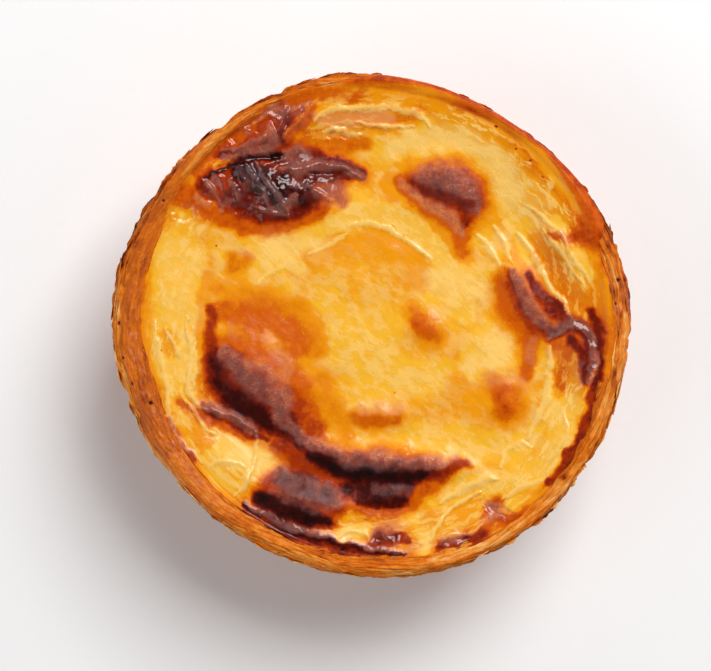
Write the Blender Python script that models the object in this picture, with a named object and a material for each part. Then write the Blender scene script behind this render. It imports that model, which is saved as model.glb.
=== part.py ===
"""Portuguese custard tart: a cup of laminated pastry, baked in a small flared tin, filled with egg custard.

The tart stands on its flat base with +Z up, and the origin is the middle of that base. It is two solids,
the pastry cup and the custard in it. Both are stacks of closed loops, so every shape is a radius and a
height worked out from the angle round the tart.
"""

import math

import bmesh
import bpy

MM = 0.001
SIDES = 84

# Driving dimensions, in millimetres.
RIM_RADIUS = 36.7
BASE_RADIUS = 25.2
HEIGHT = 26.0
BASE_CORNER = 3.4
FOOT_TUCK = 2.6
WALL_BELLY = 0.9
CUSTARD_RADIUS = 33.5
LIP_DROP = 3.4
CUSTARD_BELOW_RIM = 1.9
CONTACT_DROP = 0.7
WALL_AT_BASE = 2.8
FLOOR = 3.0
INNER_CORNER = 2.4
CUSTARD_SINK = 1.5
GAP = 0.3

# Uneven hand shaping: (waves round the tart, size in mm, angle of a crest in degrees).
RIM_WAVES = ((1, 0.12, 239), (2, 0.67, 160), (3, 0.13, 59), (4, 0.34, 8), (5, 0.2, 20))
CUSTARD_WAVES = ((1, 0.58, 51), (2, 0.73, 121), (3, 0.26, 62), (4, 0.15, 41), (5, 0.13, 35))
HEIGHT_WAVES = ((2, 0.28, 185), (3, 0.22, 20), (5, 0.16, 50), (8, 0.08, 12))
WALL_WAVES = ((3, 0.25, 100), (7, 0.16, 15), (11, 0.1, 4))

# Blisters and folds of the baked skin: (x, y, half length, half width, direction in degrees, rise), mm.
BLISTERS = (
    (-15.0, 20.5, 9.5, 4.6, -4, 2.0),
    (-14.5, 28.5, 5.5, 2.8, 35, 1.3),
    (11.0, 20.0, 6.5, 4.4, -22, 1.7),
    (23.0, 3.8, 7.5, 2.6, -55, 1.4),
    (30.2, -4.5, 5.0, 1.5, -86, 1.1),
    (-17.5, -6.5, 8.5, 5.2, -50, 1.7),
    (1.0, -19.6, 12.5, 2.3, -5, 1.9),
    (-10.0, -25.0, 6.5, 2.8, -14, 1.7),
    (1.5, -25.0, 6.5, 2.0, 8, 1.0),
    (18.8, -11.0, 4.0, 3.0, 60, 0.7),
    (7.5, -0.3, 2.8, 2.2, 0, 0.6),
    (0.8, -13.0, 4.2, 1.9, -5, 0.7),
    (27.5, 11.5, 4.5, 1.6, -50, 0.7),
    (-28.5, 4.0, 7.5, 2.6, 82, 0.7),
    (-20.5, -19.5, 5.0, 3.0, -30, 0.7),
)


def waves(angle, terms):
    """The sum of the waves in terms at this angle, in millimetres."""
    return sum(size * math.cos(count * (angle - math.radians(crest))) for count, size, crest in terms)


def smooth(share):
    """An S curve from 0 to 1."""
    share = min(max(share, 0.0), 1.0)
    return share * share * (3 - 2 * share)


def rim_radius(angle):
    return RIM_RADIUS + waves(angle, RIM_WAVES)


def rim_height(angle):
    return HEIGHT + waves(angle, HEIGHT_WAVES)


def custard_radius(angle):
    return CUSTARD_RADIUS + waves(angle, CUSTARD_WAVES)


def custard_edge_height(angle):
    """Where the custard meets the pastry, a little under the rim."""
    return rim_height(angle) - CUSTARD_BELOW_RIM


def outer_wall(angle, rise):
    """Radius of the outside at a share of the way from the base to the widest part of the rim."""
    straight = BASE_RADIUS + (rim_radius(angle) - BASE_RADIUS) * rise
    belly = (WALL_BELLY + waves(angle, WALL_WAVES)) * math.sin(math.pi * rise)
    return straight + belly


def inner_wall(angle, rise):
    """Radius of the inside at a share of the way from the pastry's floor to the custard's edge."""
    floor_radius = BASE_RADIUS - WALL_AT_BASE + 0.6
    straight = floor_radius + (custard_radius(angle) - floor_radius) * rise
    belly = (WALL_BELLY + 0.5 * waves(angle, WALL_WAVES)) * math.sin(math.pi * rise)
    return straight + belly


def blister_rise(x, y):
    """How far the blisters lift the skin at this place."""
    rise = 0.0
    for centre_x, centre_y, half_length, half_width, direction, height in BLISTERS:
        turn = math.radians(direction)
        along = (x - centre_x) * math.cos(turn) + (y - centre_y) * math.sin(turn)
        across = (y - centre_y) * math.cos(turn) - (x - centre_x) * math.sin(turn)
        rise += height * math.exp(-((along / half_length) ** 2) - (across / half_width) ** 2)
    return rise


def custard_height(angle, share):
    """Height of the baked skin, at a share of the way from the middle to the custard's edge."""
    radius = custard_radius(angle) * share
    sunk = HEIGHT - CUSTARD_BELOW_RIM - CUSTARD_SINK
    level = sunk + (custard_edge_height(angle) - sunk) * smooth((share - 0.72) / 0.28)
    hold_down = 1 - smooth((share - 0.86) / 0.14)
    return level + hold_down * blister_rise(radius * math.cos(angle), radius * math.sin(angle))


def loop_of(radius_and_height):
    """One closed loop of points round the tart, in metres."""
    points = []
    for side in range(SIDES):
        angle = 2 * math.pi * side / SIDES
        radius, height = radius_and_height(angle)
        points.append((radius * math.cos(angle) * MM, radius * math.sin(angle) * MM, height * MM))
    return points


def outside_loops():
    """The outside from the flat foot, round the corner of the tin and up to the widest part of the rim."""
    corner_ends = BASE_CORNER / (HEIGHT - LIP_DROP)
    corner = [corner_ends * share for share in (0, 0.2, 0.45, 0.72)]
    wall = [corner_ends + (1 - corner_ends) * step / 7 for step in range(8)]
    for rise in (*corner, *wall):

        def point(angle, rise=rise):
            tuck = FOOT_TUCK * max(0.0, 1 - rise / corner_ends) ** 2
            return outer_wall(angle, rise) - tuck, rise * (rim_height(angle) - LIP_DROP)

        yield point


def lip_loops():
    """The rounded lip, from the widest part over the top and down to where the custard starts."""
    for step in range(1, 7):
        turn = math.radians(24 * step)

        def point(angle, turn=turn):
            outer, inner = rim_radius(angle), custard_radius(angle)
            crest = inner + 0.56 * (outer - inner)
            if turn < math.pi / 2:
                return crest + (outer - crest) * math.cos(turn), rim_height(angle) - LIP_DROP * (1 - math.sin(turn))
            return crest + (crest - inner) * math.cos(turn), rim_height(angle) - CUSTARD_BELOW_RIM * (1 - math.sin(turn))

        yield point


def inside_loops():
    """The inner wall from the custard's edge down to the pastry's floor."""
    for step in range(5):
        rise = 1 - step / 5

        def point(angle, rise=rise):
            top = custard_edge_height(angle) - CONTACT_DROP
            low = FLOOR + INNER_CORNER
            return inner_wall(angle, rise), low + rise * (top - low)

        yield point
    yield lambda angle: (inner_wall(angle, 0) - 0.4, FLOOR + INNER_CORNER * 0.45)
    yield lambda angle: (inner_wall(angle, 0) - INNER_CORNER, FLOOR)


def custard_side_loops():
    """The custard's floor and side, a fine gap inside the pastry."""
    yield lambda angle: (inner_wall(angle, 0) - INNER_CORNER - 0.1, FLOOR + GAP)
    yield lambda angle: (inner_wall(angle, 0) - 0.4 - GAP, FLOOR + INNER_CORNER * 0.45 + GAP)
    for step in range(6):
        rise = step / 5

        def point(angle, rise=rise):
            top = custard_edge_height(angle) - CONTACT_DROP
            low = FLOOR + INNER_CORNER
            return inner_wall(angle, rise) - GAP * 1.3, low + rise * (top - low)

        yield point


def custard_top_loops():
    """The baked skin, from the edge in to the middle."""
    edge_share = 0.985
    rings = 15
    for ring in range(rings):
        share = edge_share * (1 - ring / rings)
        yield lambda angle, share=share: (custard_radius(angle) * share, custard_height(angle, share))


def stack(name, profile, colour, roughness):
    """A closed solid from loops that follow one another, its first and last loops closed by flat caps."""
    shape = bmesh.new()
    loops = [[shape.verts.new(point) for point in loop_of(place)] for place in profile]
    for lower, upper in zip(loops, loops[1:]):
        for side in range(SIDES):
            after = (side + 1) % SIDES
            shape.faces.new((lower[side], lower[after], upper[after], upper[side]))
    shape.faces.new(list(reversed(loops[0])))
    last_cap = shape.faces.new(loops[-1])
    bmesh.ops.poke(shape, faces=[last_cap])
    bmesh.ops.recalc_face_normals(shape, faces=shape.faces)
    mesh = bpy.data.meshes.new(name)
    shape.to_mesh(mesh)
    shape.free()
    mesh.shade_smooth()
    mesh.set_sharp_from_angle(angle=math.radians(50))
    piece = bpy.data.objects.new(name, mesh)
    bpy.context.scene.collection.objects.link(piece)
    piece.data.materials.append(finish(name, colour, roughness))
    return piece


def finish(name, colour, roughness):
    """A plain material: every surface of the tart is a matt or moist dielectric."""
    material = bpy.data.materials.new(name)
    material.use_nodes = True
    shader = material.node_tree.nodes["Principled BSDF"]
    shader.inputs["Base Color"].default_value = (*colour, 1)
    shader.inputs["Roughness"].default_value = roughness
    shader.inputs["Metallic"].default_value = 0
    return material


def make_pastry():
    profile = [*outside_loops(), *lip_loops(), *inside_loops()]
    return stack("pastry_shell", profile, (0.56, 0.24, 0.07), 0.6)


def make_custard():
    profile = [*custard_side_loops(), *custard_top_loops()]
    return stack("custard_filling", profile, (0.87, 0.49, 0.08), 0.35)


def main():
    for leftover in list(bpy.data.objects):
        bpy.data.objects.remove(leftover)
    tart = bpy.data.objects.new("tart", None)
    bpy.context.scene.collection.objects.link(tart)
    for piece in (make_pastry(), make_custard()):
        piece.parent = tart


main()
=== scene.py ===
"""Custard tart look: the custard's baked skin, the flaky pastry cup, its loose leaves and a studio stage.

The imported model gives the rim, the custard's edge and the base; everything finer is shaped here. Places on
the tart are in millimetres from its middle, +X to the right and +Y away, as (x, y) or (x, y, radius).
"""

import math

import bpy
import numpy as np
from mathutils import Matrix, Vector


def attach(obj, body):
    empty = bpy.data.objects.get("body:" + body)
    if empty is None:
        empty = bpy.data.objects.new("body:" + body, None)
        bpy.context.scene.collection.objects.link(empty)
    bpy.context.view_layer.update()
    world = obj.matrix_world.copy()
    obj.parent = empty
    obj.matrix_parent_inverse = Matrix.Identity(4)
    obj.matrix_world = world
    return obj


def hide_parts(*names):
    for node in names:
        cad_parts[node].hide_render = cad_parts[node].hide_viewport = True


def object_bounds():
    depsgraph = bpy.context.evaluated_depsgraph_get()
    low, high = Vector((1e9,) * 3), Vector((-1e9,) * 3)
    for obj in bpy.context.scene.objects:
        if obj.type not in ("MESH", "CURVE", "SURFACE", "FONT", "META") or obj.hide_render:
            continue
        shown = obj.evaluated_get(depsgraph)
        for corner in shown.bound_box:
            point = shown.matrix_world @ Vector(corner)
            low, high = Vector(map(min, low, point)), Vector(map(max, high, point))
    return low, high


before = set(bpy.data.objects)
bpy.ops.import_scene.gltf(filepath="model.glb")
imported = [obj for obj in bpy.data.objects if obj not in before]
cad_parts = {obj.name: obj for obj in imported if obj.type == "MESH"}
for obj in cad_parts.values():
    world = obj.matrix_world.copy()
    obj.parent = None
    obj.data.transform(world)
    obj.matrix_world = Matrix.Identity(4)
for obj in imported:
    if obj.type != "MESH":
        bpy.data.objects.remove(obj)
CAD_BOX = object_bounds()

bl_info = {
    "name": "Custard Tart Look",
    "version": (1, 0, 0),
    "blender": (4, 5, 0),
    "location": "View3D > Sidebar > Tart",
    "description": "Dresses the packed custard tart: scorched custard skin, flaky pastry, crumbs and stage",
    "category": "Object",
}

MM = 0.001
ROOT = "root"
PASTRY_NODE = "pastry_shell"
CUSTARD_NODE = "custard_filling"
BAKE_MAP = "OFBake"
PASTRY_FINISH = "flaky_pastry"
TURN = 2 * np.pi
NOISE_CELLS = 256

# The solid model's sides, and how many waves of its outline are kept.
CAD_SIDES = 84
OUTLINE_WAVES = 14

# Sizes of the pastry cup in millimetres, as the solid model has them.
BASE_RADIUS = 25.2
BASE_CORNER = 3.4
FOOT_TUCK = 2.6
WALL_BELLY = 0.9
LIP_DROP = 3.4
CUSTARD_BELOW_RIM = 1.9
FLOOR = 3.0
CUSTARD_GAP = 0.39
MEAN_RADIUS = 34

# Where the lip is highest, as a share of its width.
CREST_SHARE = 0.56

# The zones of the cup's surface.
BASE, WALL, LIP, INSIDE = range(4)

# The way that the custard's film is torn, in degrees.
FILM_DIRECTION = -38

# Directions round the tart in radians: where the custard banks up against the lip, where the lip's leaves lie
# smoothest, and where the lip shines most.
BANKED_SIDE = 1.0
CALM_SIDE = 3.05
SHINY_SIDE = -0.08

# The height in millimetres at which the wall's leaves are chipped.
CHIPPED_HEIGHT = 22.5

# The baking from which a mark scorches the custard round it.
SCORCHING = 0.76

# How far the custard is baked between the marks: in the middle, beside the pastry, round a scorch mark and
# at the glaze's outer edge.
GROUND_TONE = 0.3
TOASTED_TONE = 0.46
HALO_TONE = 0.52
BROWNED_TONE = 0.66

# The custard's map: the millimetres it spans, and the middle and size of the patches for its top and its
# hidden underside.
MAP_SPAN = 76
TOP_PATCH = (0.44, 0.86)
UNDER_PATCH = (0.93, 0.12)

# The points of a flake's sheet, across it and from its root to its free edge.
FLAKE_ACROSS = 7
FLAKE_ROWS = 4

# The picture's middle from the tart's middle, and the height it is measured at below the highest point.
VIEW_SHIFT = (-0.0023, -0.00145)
VIEW_DROP = 0.002

# Blisters of the baked skin: (x, y, half length, half width, direction in degrees, rise).
BLISTERS = (
    (-15, 20.5, 9.5, 4.6, -4, 2),
    (-14.5, 28.5, 5.5, 2.8, 35, 1.3),
    (11, 20, 6.5, 4.4, -22, 1.7),
    (23, 3.8, 7.5, 2.6, -55, 1.4),
    (30.2, -4.5, 5, 1.5, -86, 1.1),
    (-17.5, -6.5, 8.5, 5.2, -50, 1.7),
    (1, -19.6, 12.5, 2.3, -5, 1.9),
    (-10, -25, 6.5, 2.8, -14, 1.7),
    (1.5, -25, 6.5, 2, 8, 1),
    (18.8, -11, 4, 3, 60, 0.7),
    (7.5, -0.3, 2.8, 2.2, 0, 0.6),
    (0.8, -13, 4.2, 1.9, -5, 0.7),
    (27.5, 11.5, 4.5, 1.6, -50, 0.7),
    (-28.5, 4, 7.5, 2.6, 82, 0.7),
    (-20.5, -19.5, 5, 3, -30, 0.7),
)

# How far the custard is baked, painted in this order: (tone, strength, softness, path). Tone runs from 0,
# pale custard, through 0.4, amber, and 0.7, brown, to 1, burnt black.
BAKING = (
    # pale pools of set custard
    (0.06, 0.9, 0.6, ((-28.5, 9.5, 3.2), (-28, 4, 2.8), (-28.5, -6, 2.4))),
    (0.06, 0.8, 0.7, ((-15, 11, 2.4), (-9, 12, 1.8))),
    (0.1, 0.8, 0.7, ((8, 6.5, 2.4), (12, 7, 2.8), (16, 6, 2))),
    (0.08, 0.8, 0.6, ((2.5, 25.5, 1.4), (8, 27, 1.6), (14, 26.4, 1.8), (18.6, 22.8, 1.9), (20, 18, 2))),
    (0.08, 0.8, 0.6, ((-20.5, -20, 3.4), (-16.5, -19, 2.6))),
    (0.14, 0.8, 0.8, ((-3, -1.5, 4.2), (3, -6, 4.2), (8, -7.5, 3))),
    (0.12, 0.7, 0.7, ((8, -16.3, 2.4), (15, -17, 2.6), (22.5, -16.5, 2.6))),
    (0.08, 0.8, 0.6, ((17, -2.5, 2.6), (15, -6, 2), (18.5, -4.5, 2))),
    (0.1, 0.8, 0.6, ((12, -24.8, 1), (16, -22.6, 1.4), (21, -22, 1.6))),
    (0.08, 0.8, 0.6, ((4.5, -31.2, 1), (7.5, -31.6, 1.3))),
    (0.06, 0.8, 0.6, ((-4.5, -30.2, 0.9), (-1.5, -29.9, 1))),
    (0.06, 0.8, 0.6, ((27, -12, 1.6), (27.5, -16, 1.8), (24.5, -20.5, 1.6))),
    # amber pools, where the skin is thin and clear
    (0.42, 0.85, 0.6, ((-8.5, 9.5, 1.8), (-4, 11, 2.4), (2, 11.5, 3.2), (5.8, 9.5, 2.4), (6, 6.5, 2))),
    (0.32, 0.6, 0.7, ((-8, 8, 2.6), (2, 7.5, 3))),
    (0.4, 0.8, 0.6, ((12.5, -9, 2.2), (15.5, -12, 3), (20.5, -13.3, 2.6))),
    (0.38, 0.7, 0.7, ((5, -12, 2), (9, -12.5, 2.4))),
    (0.36, 0.7, 0.7, ((10, -2.5, 2.6), (5, -3.5, 1.8))),
    (0.46, 0.85, 0.5, ((23.8, 12.5, 1.4), (25.5, 9, 1.8), (28.3, 4.6, 1.9), (30.5, 3.6, 1.3))),
    (0.52, 0.85, 0.5, ((-9.6, 27.3, 1.3), (-5, 26.6, 1.4), (-1.2, 26.4, 1))),
    (0.34, 0.7, 0.6, ((-26, 14.2, 1.8), (-21.5, 13, 1.6))),
    (0.42, 0.85, 0.5, ((-23.8, 7, 1), (-24.6, 3, 1.2), (-25, -3, 1))),
    (0.42, 0.85, 0.5, ((-29.4, -1.4, 1.6), (-29.2, -3.4, 1.2))),
    (0.46, 0.85, 0.5, ((-26, -13.5, 1.2), (-24.4, -16.6, 1.7))),
    (0.38, 0.8, 0.5, ((-21, -21.3, 1.1), (-19.6, -21.8, 0.8))),
    (0.4, 0.8, 0.5, ((-20.3, -24, 0.7), (-18.9, -24.1, 0.6))),
    (0.42, 0.8, 0.5, ((8, -27.8, 1.4), (11.5, -27.6, 1.8), (14.5, -25.3, 1.3))),
    (0.44, 0.8, 0.5, ((2.3, 21.6, 1), (2.2, 19.6, 0.9), (2.9, 18, 0.7))),
    (0.44, 0.85, 0.5, ((7, 16.8, 0.7), (10, 13.6, 1), (12, 11.6, 1.8), (13.6, 10.2, 1.4))),
    (0.34, 0.7, 0.6, ((21.5, 20.6, 1.4), (24.5, 17.6, 1.6))),
    (0.34, 0.7, 0.6, ((9.5, 29.8, 1), (13.5, 28.6, 1.2), (17, 26.6, 0.9))),
    (0.44, 0.8, 0.5, ((-0.5, 32.8, 1.1), (5, 32.6, 1), (10, 31.4, 0.8))),
    (0.4, 0.8, 0.5, ((-3, 30.3, 0.7), (3, 30.2, 0.8), (4, 27.8, 0.8))),
    (0.34, 0.7, 0.6, ((17.8, -20, 1.6), (19, -18.4, 1))),
    (0.36, 0.7, 0.6, ((23.3, -18.8, 1.2), (25, -16.2, 0.8))),
    (0.34, 0.7, 0.6, ((21.6, 12.2, 0.9), (23, 9, 0.8))),
    (0.42, 0.8, 0.5, ((27.6, -6, 1), (27, -9.5, 1))),
    (0.5, 0.85, 0.6, ((-8.5, 30, 1.4), (-3, 29.8, 1.8), (3, 29.2, 1.2))),
    # pale film lapping over the amber pools
    (0.08, 0.9, 0.25, (
        (-6, 14.6, 1.2), (-1, 16.6, 1.5), (3.6, 15.6, 1.4), (7.4, 13, 1.3), (10.2, 10, 1.2),
    )),
    (0.1, 0.8, 0.3, ((10.6, 8.6, 1.6), (12.4, 5, 2.2), (13.6, 1.6, 1.6))),
    (0.12, 0.7, 0.4, ((-13, 10.6, 1.4), (-10.4, 8.2, 0.9))),
    (0.08, 0.8, 0.3, ((26.4, 15.6, 0.7), (29, 11.6, 0.7), (31, 7.4, 0.6))),
    (0.1, 0.8, 0.3, ((20, 15, 0.9), (21.8, 11.6, 0.8), (22.8, 9.6, 0.6))),
    (0.1, 0.8, 0.3, ((24.2, 8.4, 0.5), (25.8, 5.4, 0.6), (27.8, 2.8, 0.5))),
    # toasted brown
    (0.57, 0.95, 0.6, ((-22.4, 2.2, 1.4), (-18, 1.6, 2.6), (-13.4, 0.8, 2.4), (-10.4, -2.4, 2.4))),
    (0.5, 0.8, 0.8, ((-22.6, 5.2, 1), (-16, 4.2, 1.4), (-9.6, 1.6, 1.4), (-7.6, -3.4, 1.4))),
    (0.59, 0.95, 0.7, (
        (-20, -3.6, 3), (-15.6, -6, 4.2), (-11.6, -8.6, 3), (-10.4, -12.8, 3.4), (-8.4, -15.4, 1.6),
    )),
    (0.68, 0.85, 0.9, ((-12.6, -9.6, 1.4), (-10.6, -12.8, 1.8), (-8.4, -15, 1.2))),
    (0.5, 0.8, 0.8, ((-7, -8, 1.2), (-5.4, -12.2, 1.6), (-3.6, -16, 1.2))),
    (0.57, 0.9, 0.8, ((-2, -13.4, 1.2), (1, -13.8, 1.6), (3.8, -13.4, 1))),
    (0.55, 0.9, 0.9, ((17.6, -8.4, 1.8), (20.4, -10, 2.2), (19, -13, 1.6))),
    (0.64, 0.8, 0.9, ((18.6, -10.2, 1), (19.2, -12.6, 0.9))),
    (0.54, 0.9, 0.9, ((6, 2.2, 1.4), (7.6, -0.2, 2), (9.6, -1.6, 1.2))),
    (0.62, 0.85, 0.9, ((6.4, 0.4, 0.9), (7.6, -0.8, 1))),
    (0.53, 0.85, 0.9, ((-20.4, 10.4, 0.8), (-20.2, 8.4, 1.2), (-18.6, 9.6, 0.9))),
    (0.54, 0.85, 0.8, ((3.8, 30.2, 0.9), (6.4, 30.4, 1))),
    (0.58, 0.9, 0.8, ((-9.4, 32.9, 0.9), (-4, 33.1, 1), (-1.6, 33.2, 0.9))),
    (0.53, 0.85, 0.8, ((-9.6, 27.6, 1.1), (-5, 26.7, 1.2), (-1.6, 26.4, 0.9))),
    (0.66, 0.85, 0.8, ((25.6, 13, 0.8), (28.2, 12.2, 1.2), (30.2, 13.8, 1.4), (32, 11.6, 1.1))),
    (0.66, 0.7, 0.9, ((28.8, 20.2, 0.6), (31.2, 16.4, 1), (33.2, 12, 1.1), (34.6, 7.6, 0.9))),
    (0.52, 0.8, 0.8, ((24.4, 11, 1.2), (26.4, 7.6, 1.6), (28.8, 4.4, 1.6), (31.2, 3.4, 1.2))),
    (0.6, 0.85, 0.9, ((12.6, 12.4, 0.8), (13.2, 10.6, 0.9))),
    (0.6, 0.95, 0.8, (
        (18.6, 6.4, 1.6), (19.6, 3, 2.2), (22.4, -1.2, 1.8), (22.8, -4.6, 1.2), (22.2, -7.4, 0.8),
    )),
    (0.58, 0.9, 0.8, ((27, -3.2, 1.6), (27.6, -6, 1.1), (27.4, -8.6, 0.8))),
    (0.66, 0.92, 0.7, ((18.2, -25.2, 1.1), (17, -27.4, 1.2), (19.4, -28, 1), (22.4, -26.8, 0.7))),
    (0.62, 0.9, 0.7, ((-27.8, -11.2, 0.9), (-24.8, -12.8, 1.1), (-22, -14, 1.1), (-18.4, -15.8, 0.9))),
    (0.73, 0.95, 0.7, (
        (-13.6, -17.4, 1.5), (-10.4, -18.6, 2.3), (-5, -20.6, 2.6), (1, -22.2, 3.4), (6.4, -21.6, 2.6),
        (10.6, -20.8, 1.5), (13.6, -20, 0.7),
    )),
    (0.62, 0.9, 0.8, ((-3.4, -26, 1.2), (1.4, -27, 1.6), (6, -25.2, 1.2), (8.6, -23.4, 0.8))),
    (0.72, 0.95, 0.6, ((-15, -22.6, 1.7), (-11.6, -24, 3), (-8, -25.4, 3), (-5.6, -26.4, 1.6))),
    (0.61, 0.95, 0.5, (
        (-29.4, 19.2, 1), (-26, 18.4, 2), (-22.5, 16.6, 1.9), (-17, 14.6, 1.6), (-10.6, 15.6, 1.4),
        (-7, 17.6, 1),
    )),
    (0.6, 0.95, 0.5, ((-25.4, 22.6, 1), (-21, 27, 1.4), (-15, 30.8, 1.8), (-10, 32, 1.4))),
    # scorched, red brown
    (0.76, 0.95, 0.4, (
        (-24.6, 20.6, 1.2), (-21.6, 20.2, 2.6), (-17, 19.6, 4), (-12, 19.8, 3.8), (-8.4, 21.4, 2.4),
        (-4.4, 22.6, 1.7), (-2, 22.2, 1),
    )),
    (0.82, 0.95, 0.5, (
        (-13.4, 24, 1.2), (-10.6, 24.4, 2), (-7, 23.9, 1.2), (-4, 23.2, 1), (-1.6, 21.6, 0.6),
    )),
    (0.68, 0.95, 0.6, ((-8, 19.8, 1.4), (-5.4, 19.2, 1.7), (-4.4, 17.8, 1))),
    (0.7, 0.95, 0.4, ((-22, 25, 0.8), (-18.4, 27.2, 1.8), (-14.4, 28.8, 2.5), (-11, 30.2, 1.9))),
    (0.78, 0.95, 0.5, (
        (-21.6, 24.6, 0.6), (-16.4, 25.4, 1.1), (-13.4, 27, 1.3), (-12.2, 29, 0.9), (-13, 31, 1.2),
    )),
    (0.6, 0.85, 0.5, ((-20.4, 26.6, 0.7), (-18.2, 28, 1.1), (-17.4, 29.6, 0.7))),
    (0.62, 0.9, 0.5, ((-8.6, 31.7, 0.6), (-10.4, 29.4, 0.7), (-12.4, 27.2, 0.6))),
    (0.82, 0.95, 0.5, (
        (-19.8, 18.8, 1.4), (-17.6, 17.2, 1.5), (-14, 15.8, 1.1), (-10.4, 17, 1.2), (-8.6, 18.4, 1),
    )),
    (0.84, 0.95, 0.5, ((-13.8, 21.5, 0.8), (-9.6, 21.7, 1.1), (-6, 21.8, 0.8), (-3.8, 21.6, 0.4))),
    (0.78, 0.95, 0.45, (
        (6, 20.6, 1.3), (8.8, 20.4, 2.8), (12.4, 19.4, 3.2), (14.2, 17.4, 1.8), (13.4, 15, 0.9),
    )),
    (0.82, 0.9, 0.7, ((7.6, 20.6, 1.2), (9.6, 19.6, 1.5), (12, 18.8, 1.6), (13.8, 17.8, 1.2))),
    (0.6, 0.9, 0.6, ((4, 20.8, 0.9), (7, 17.8, 1.1), (11, 15.4, 1.3), (13.2, 13, 0.9))),
    (0.76, 0.95, 0.6, ((20, 7.8, 0.7), (21.4, 4.4, 1.3), (23.2, 1.4, 1.5), (25.4, -0.6, 1.2))),
    (0.8, 0.95, 0.5, ((22.4, 7.4, 0.6), (24.4, 4.6, 0.9), (26.6, 2, 1.1), (28.4, 1, 0.9))),
    (0.84, 0.95, 0.6, (
        (26.4, -0.6, 1), (28.8, 0, 1.2), (30.8, -1.2, 1.2), (31.2, -4, 1), (30.6, -7.8, 0.8),
    )),
    (0.84, 0.9, 0.7, ((28.6, -2.2, 0.7), (29.8, -3.4, 0.6), (29.9, -5.6, 0.4))),
    (0.74, 0.9, 0.7, ((-23.6, 3, 0.6), (-23.5, -1, 0.9), (-23.4, -5, 1.2))),
    (0.88, 0.95, 0.8, (
        (-23, -4.6, 1.2), (-22, -8.4, 2), (-19, -11.2, 2.3), (-16, -13.4, 1.7), (-13, -15.2, 1.1),
        (-10.4, -16.8, 0.8),
    )),
    (0.84, 0.92, 0.8, ((-20.6, -5, 1.4), (-17.6, -8, 2), (-14.2, -11.2, 1.6), (-11.6, -15, 1))),
    (0.78, 0.95, 0.5, ((-24.6, -11.6, 0.5), (-21.6, -13.2, 0.8), (-18.4, -14.8, 0.8), (-15.6, -16.4, 0.6))),
    (0.84, 0.95, 0.7, (
        (-12, -16.2, 0.6), (-8.6, -18, 0.9), (-4.6, -19.8, 1.4), (0, -20.6, 1.7), (5, -20.9, 1.6),
        (8.6, -20.8, 0.9),
    )),
    (0.92, 0.9, 0.8, ((-13.4, -21.8, 0.9), (-10, -23.2, 1.7), (-6.4, -24.8, 1.3))),
    (0.9, 0.95, 0.8, ((-3.6, -23.4, 1.2), (1.6, -24.4, 1.7), (5.2, -23.8, 0.9))),
    (0.9, 0.95, 0.5, (
        (-18.6, -25.8, 0.4), (-15, -28.3, 0.8), (-10.6, -30.1, 1), (-5.6, -31.3, 0.8), (-1, -32.5, 0.5),
        (4.4, -33.2, 0.3),
    )),
    (0.78, 0.95, 0.6, ((-0.6, -31.8, 0.9), (2, -30.8, 1.4), (4.8, -31, 0.9))),
    (0.78, 0.95, 0.6, ((9.8, -32.2, 0.8), (12.8, -31.2, 1.1), (16, -30, 0.9))),
    (0.76, 0.95, 0.5, (
        (32.2, -8, 0.6), (31.2, -12.6, 0.8), (29.4, -17, 0.8), (27.4, -20.2, 0.8), (25.4, -22.6, 0.6),
    )),
    (0.68, 0.9, 0.5, ((-29.6, -13.4, 0.4), (-28.4, -16, 0.5), (-26, -19.2, 0.4))),
    # burnt black
    (0.95, 0.95, 0.6, ((-19.8, 22.8, 0.9), (-17.2, 21.8, 1.9), (-15.2, 20.2, 2), (-13.6, 18.4, 1.5))),
    (0.96, 0.85, 0.8, (
        (-23.8, 21, 0.2), (-21.6, 22.8, 0.3), (-18.8, 23.9, 0.45), (-15.6, 24.3, 0.5), (-13.4, 24.8, 0.3),
    )),
    (0.9, 0.85, 0.7, ((-12.4, 20.4, 1.2), (-9.8, 19.6, 1.2), (-9.8, 17.8, 0.7))),
    (0.88, 0.8, 0.8, ((31.6, 2, 0.7), (32.7, -0.6, 0.7), (32.8, -4, 0.5), (32.3, -8.4, 0.4))),
    (0.94, 0.8, 1, ((-22, -8.6, 0.6), (-20, -10.8, 1.2), (-17.2, -12.6, 1.1), (-15, -14, 0.6))),
    (0.97, 0.95, 0.9, (
        (-9, -18.7, 0.5), (-5.4, -20.6, 0.9), (0.6, -21.7, 1.3), (4.6, -22.1, 1.1), (7.4, -21.8, 0.6),
    )),
    (0.97, 0.95, 0.8, ((-16.8, -24.8, 0.7), (-13.6, -26.4, 1.7), (-9.6, -27.6, 1.5), (-6.8, -28.4, 0.8))),
    (0.92, 0.8, 0.8, ((-2, -25.2, 0.7), (1.4, -25.6, 0.8), (4.4, -25, 0.5))),
    # the near scorch's outer side
    (0.78, 0.9, 0.5, ((-18.4, -26.6, 0.3), (-12, -30.5, 0.5), (-6, -32.2, 0.4), (0.4, -33.4, 0.3))),
)

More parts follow.
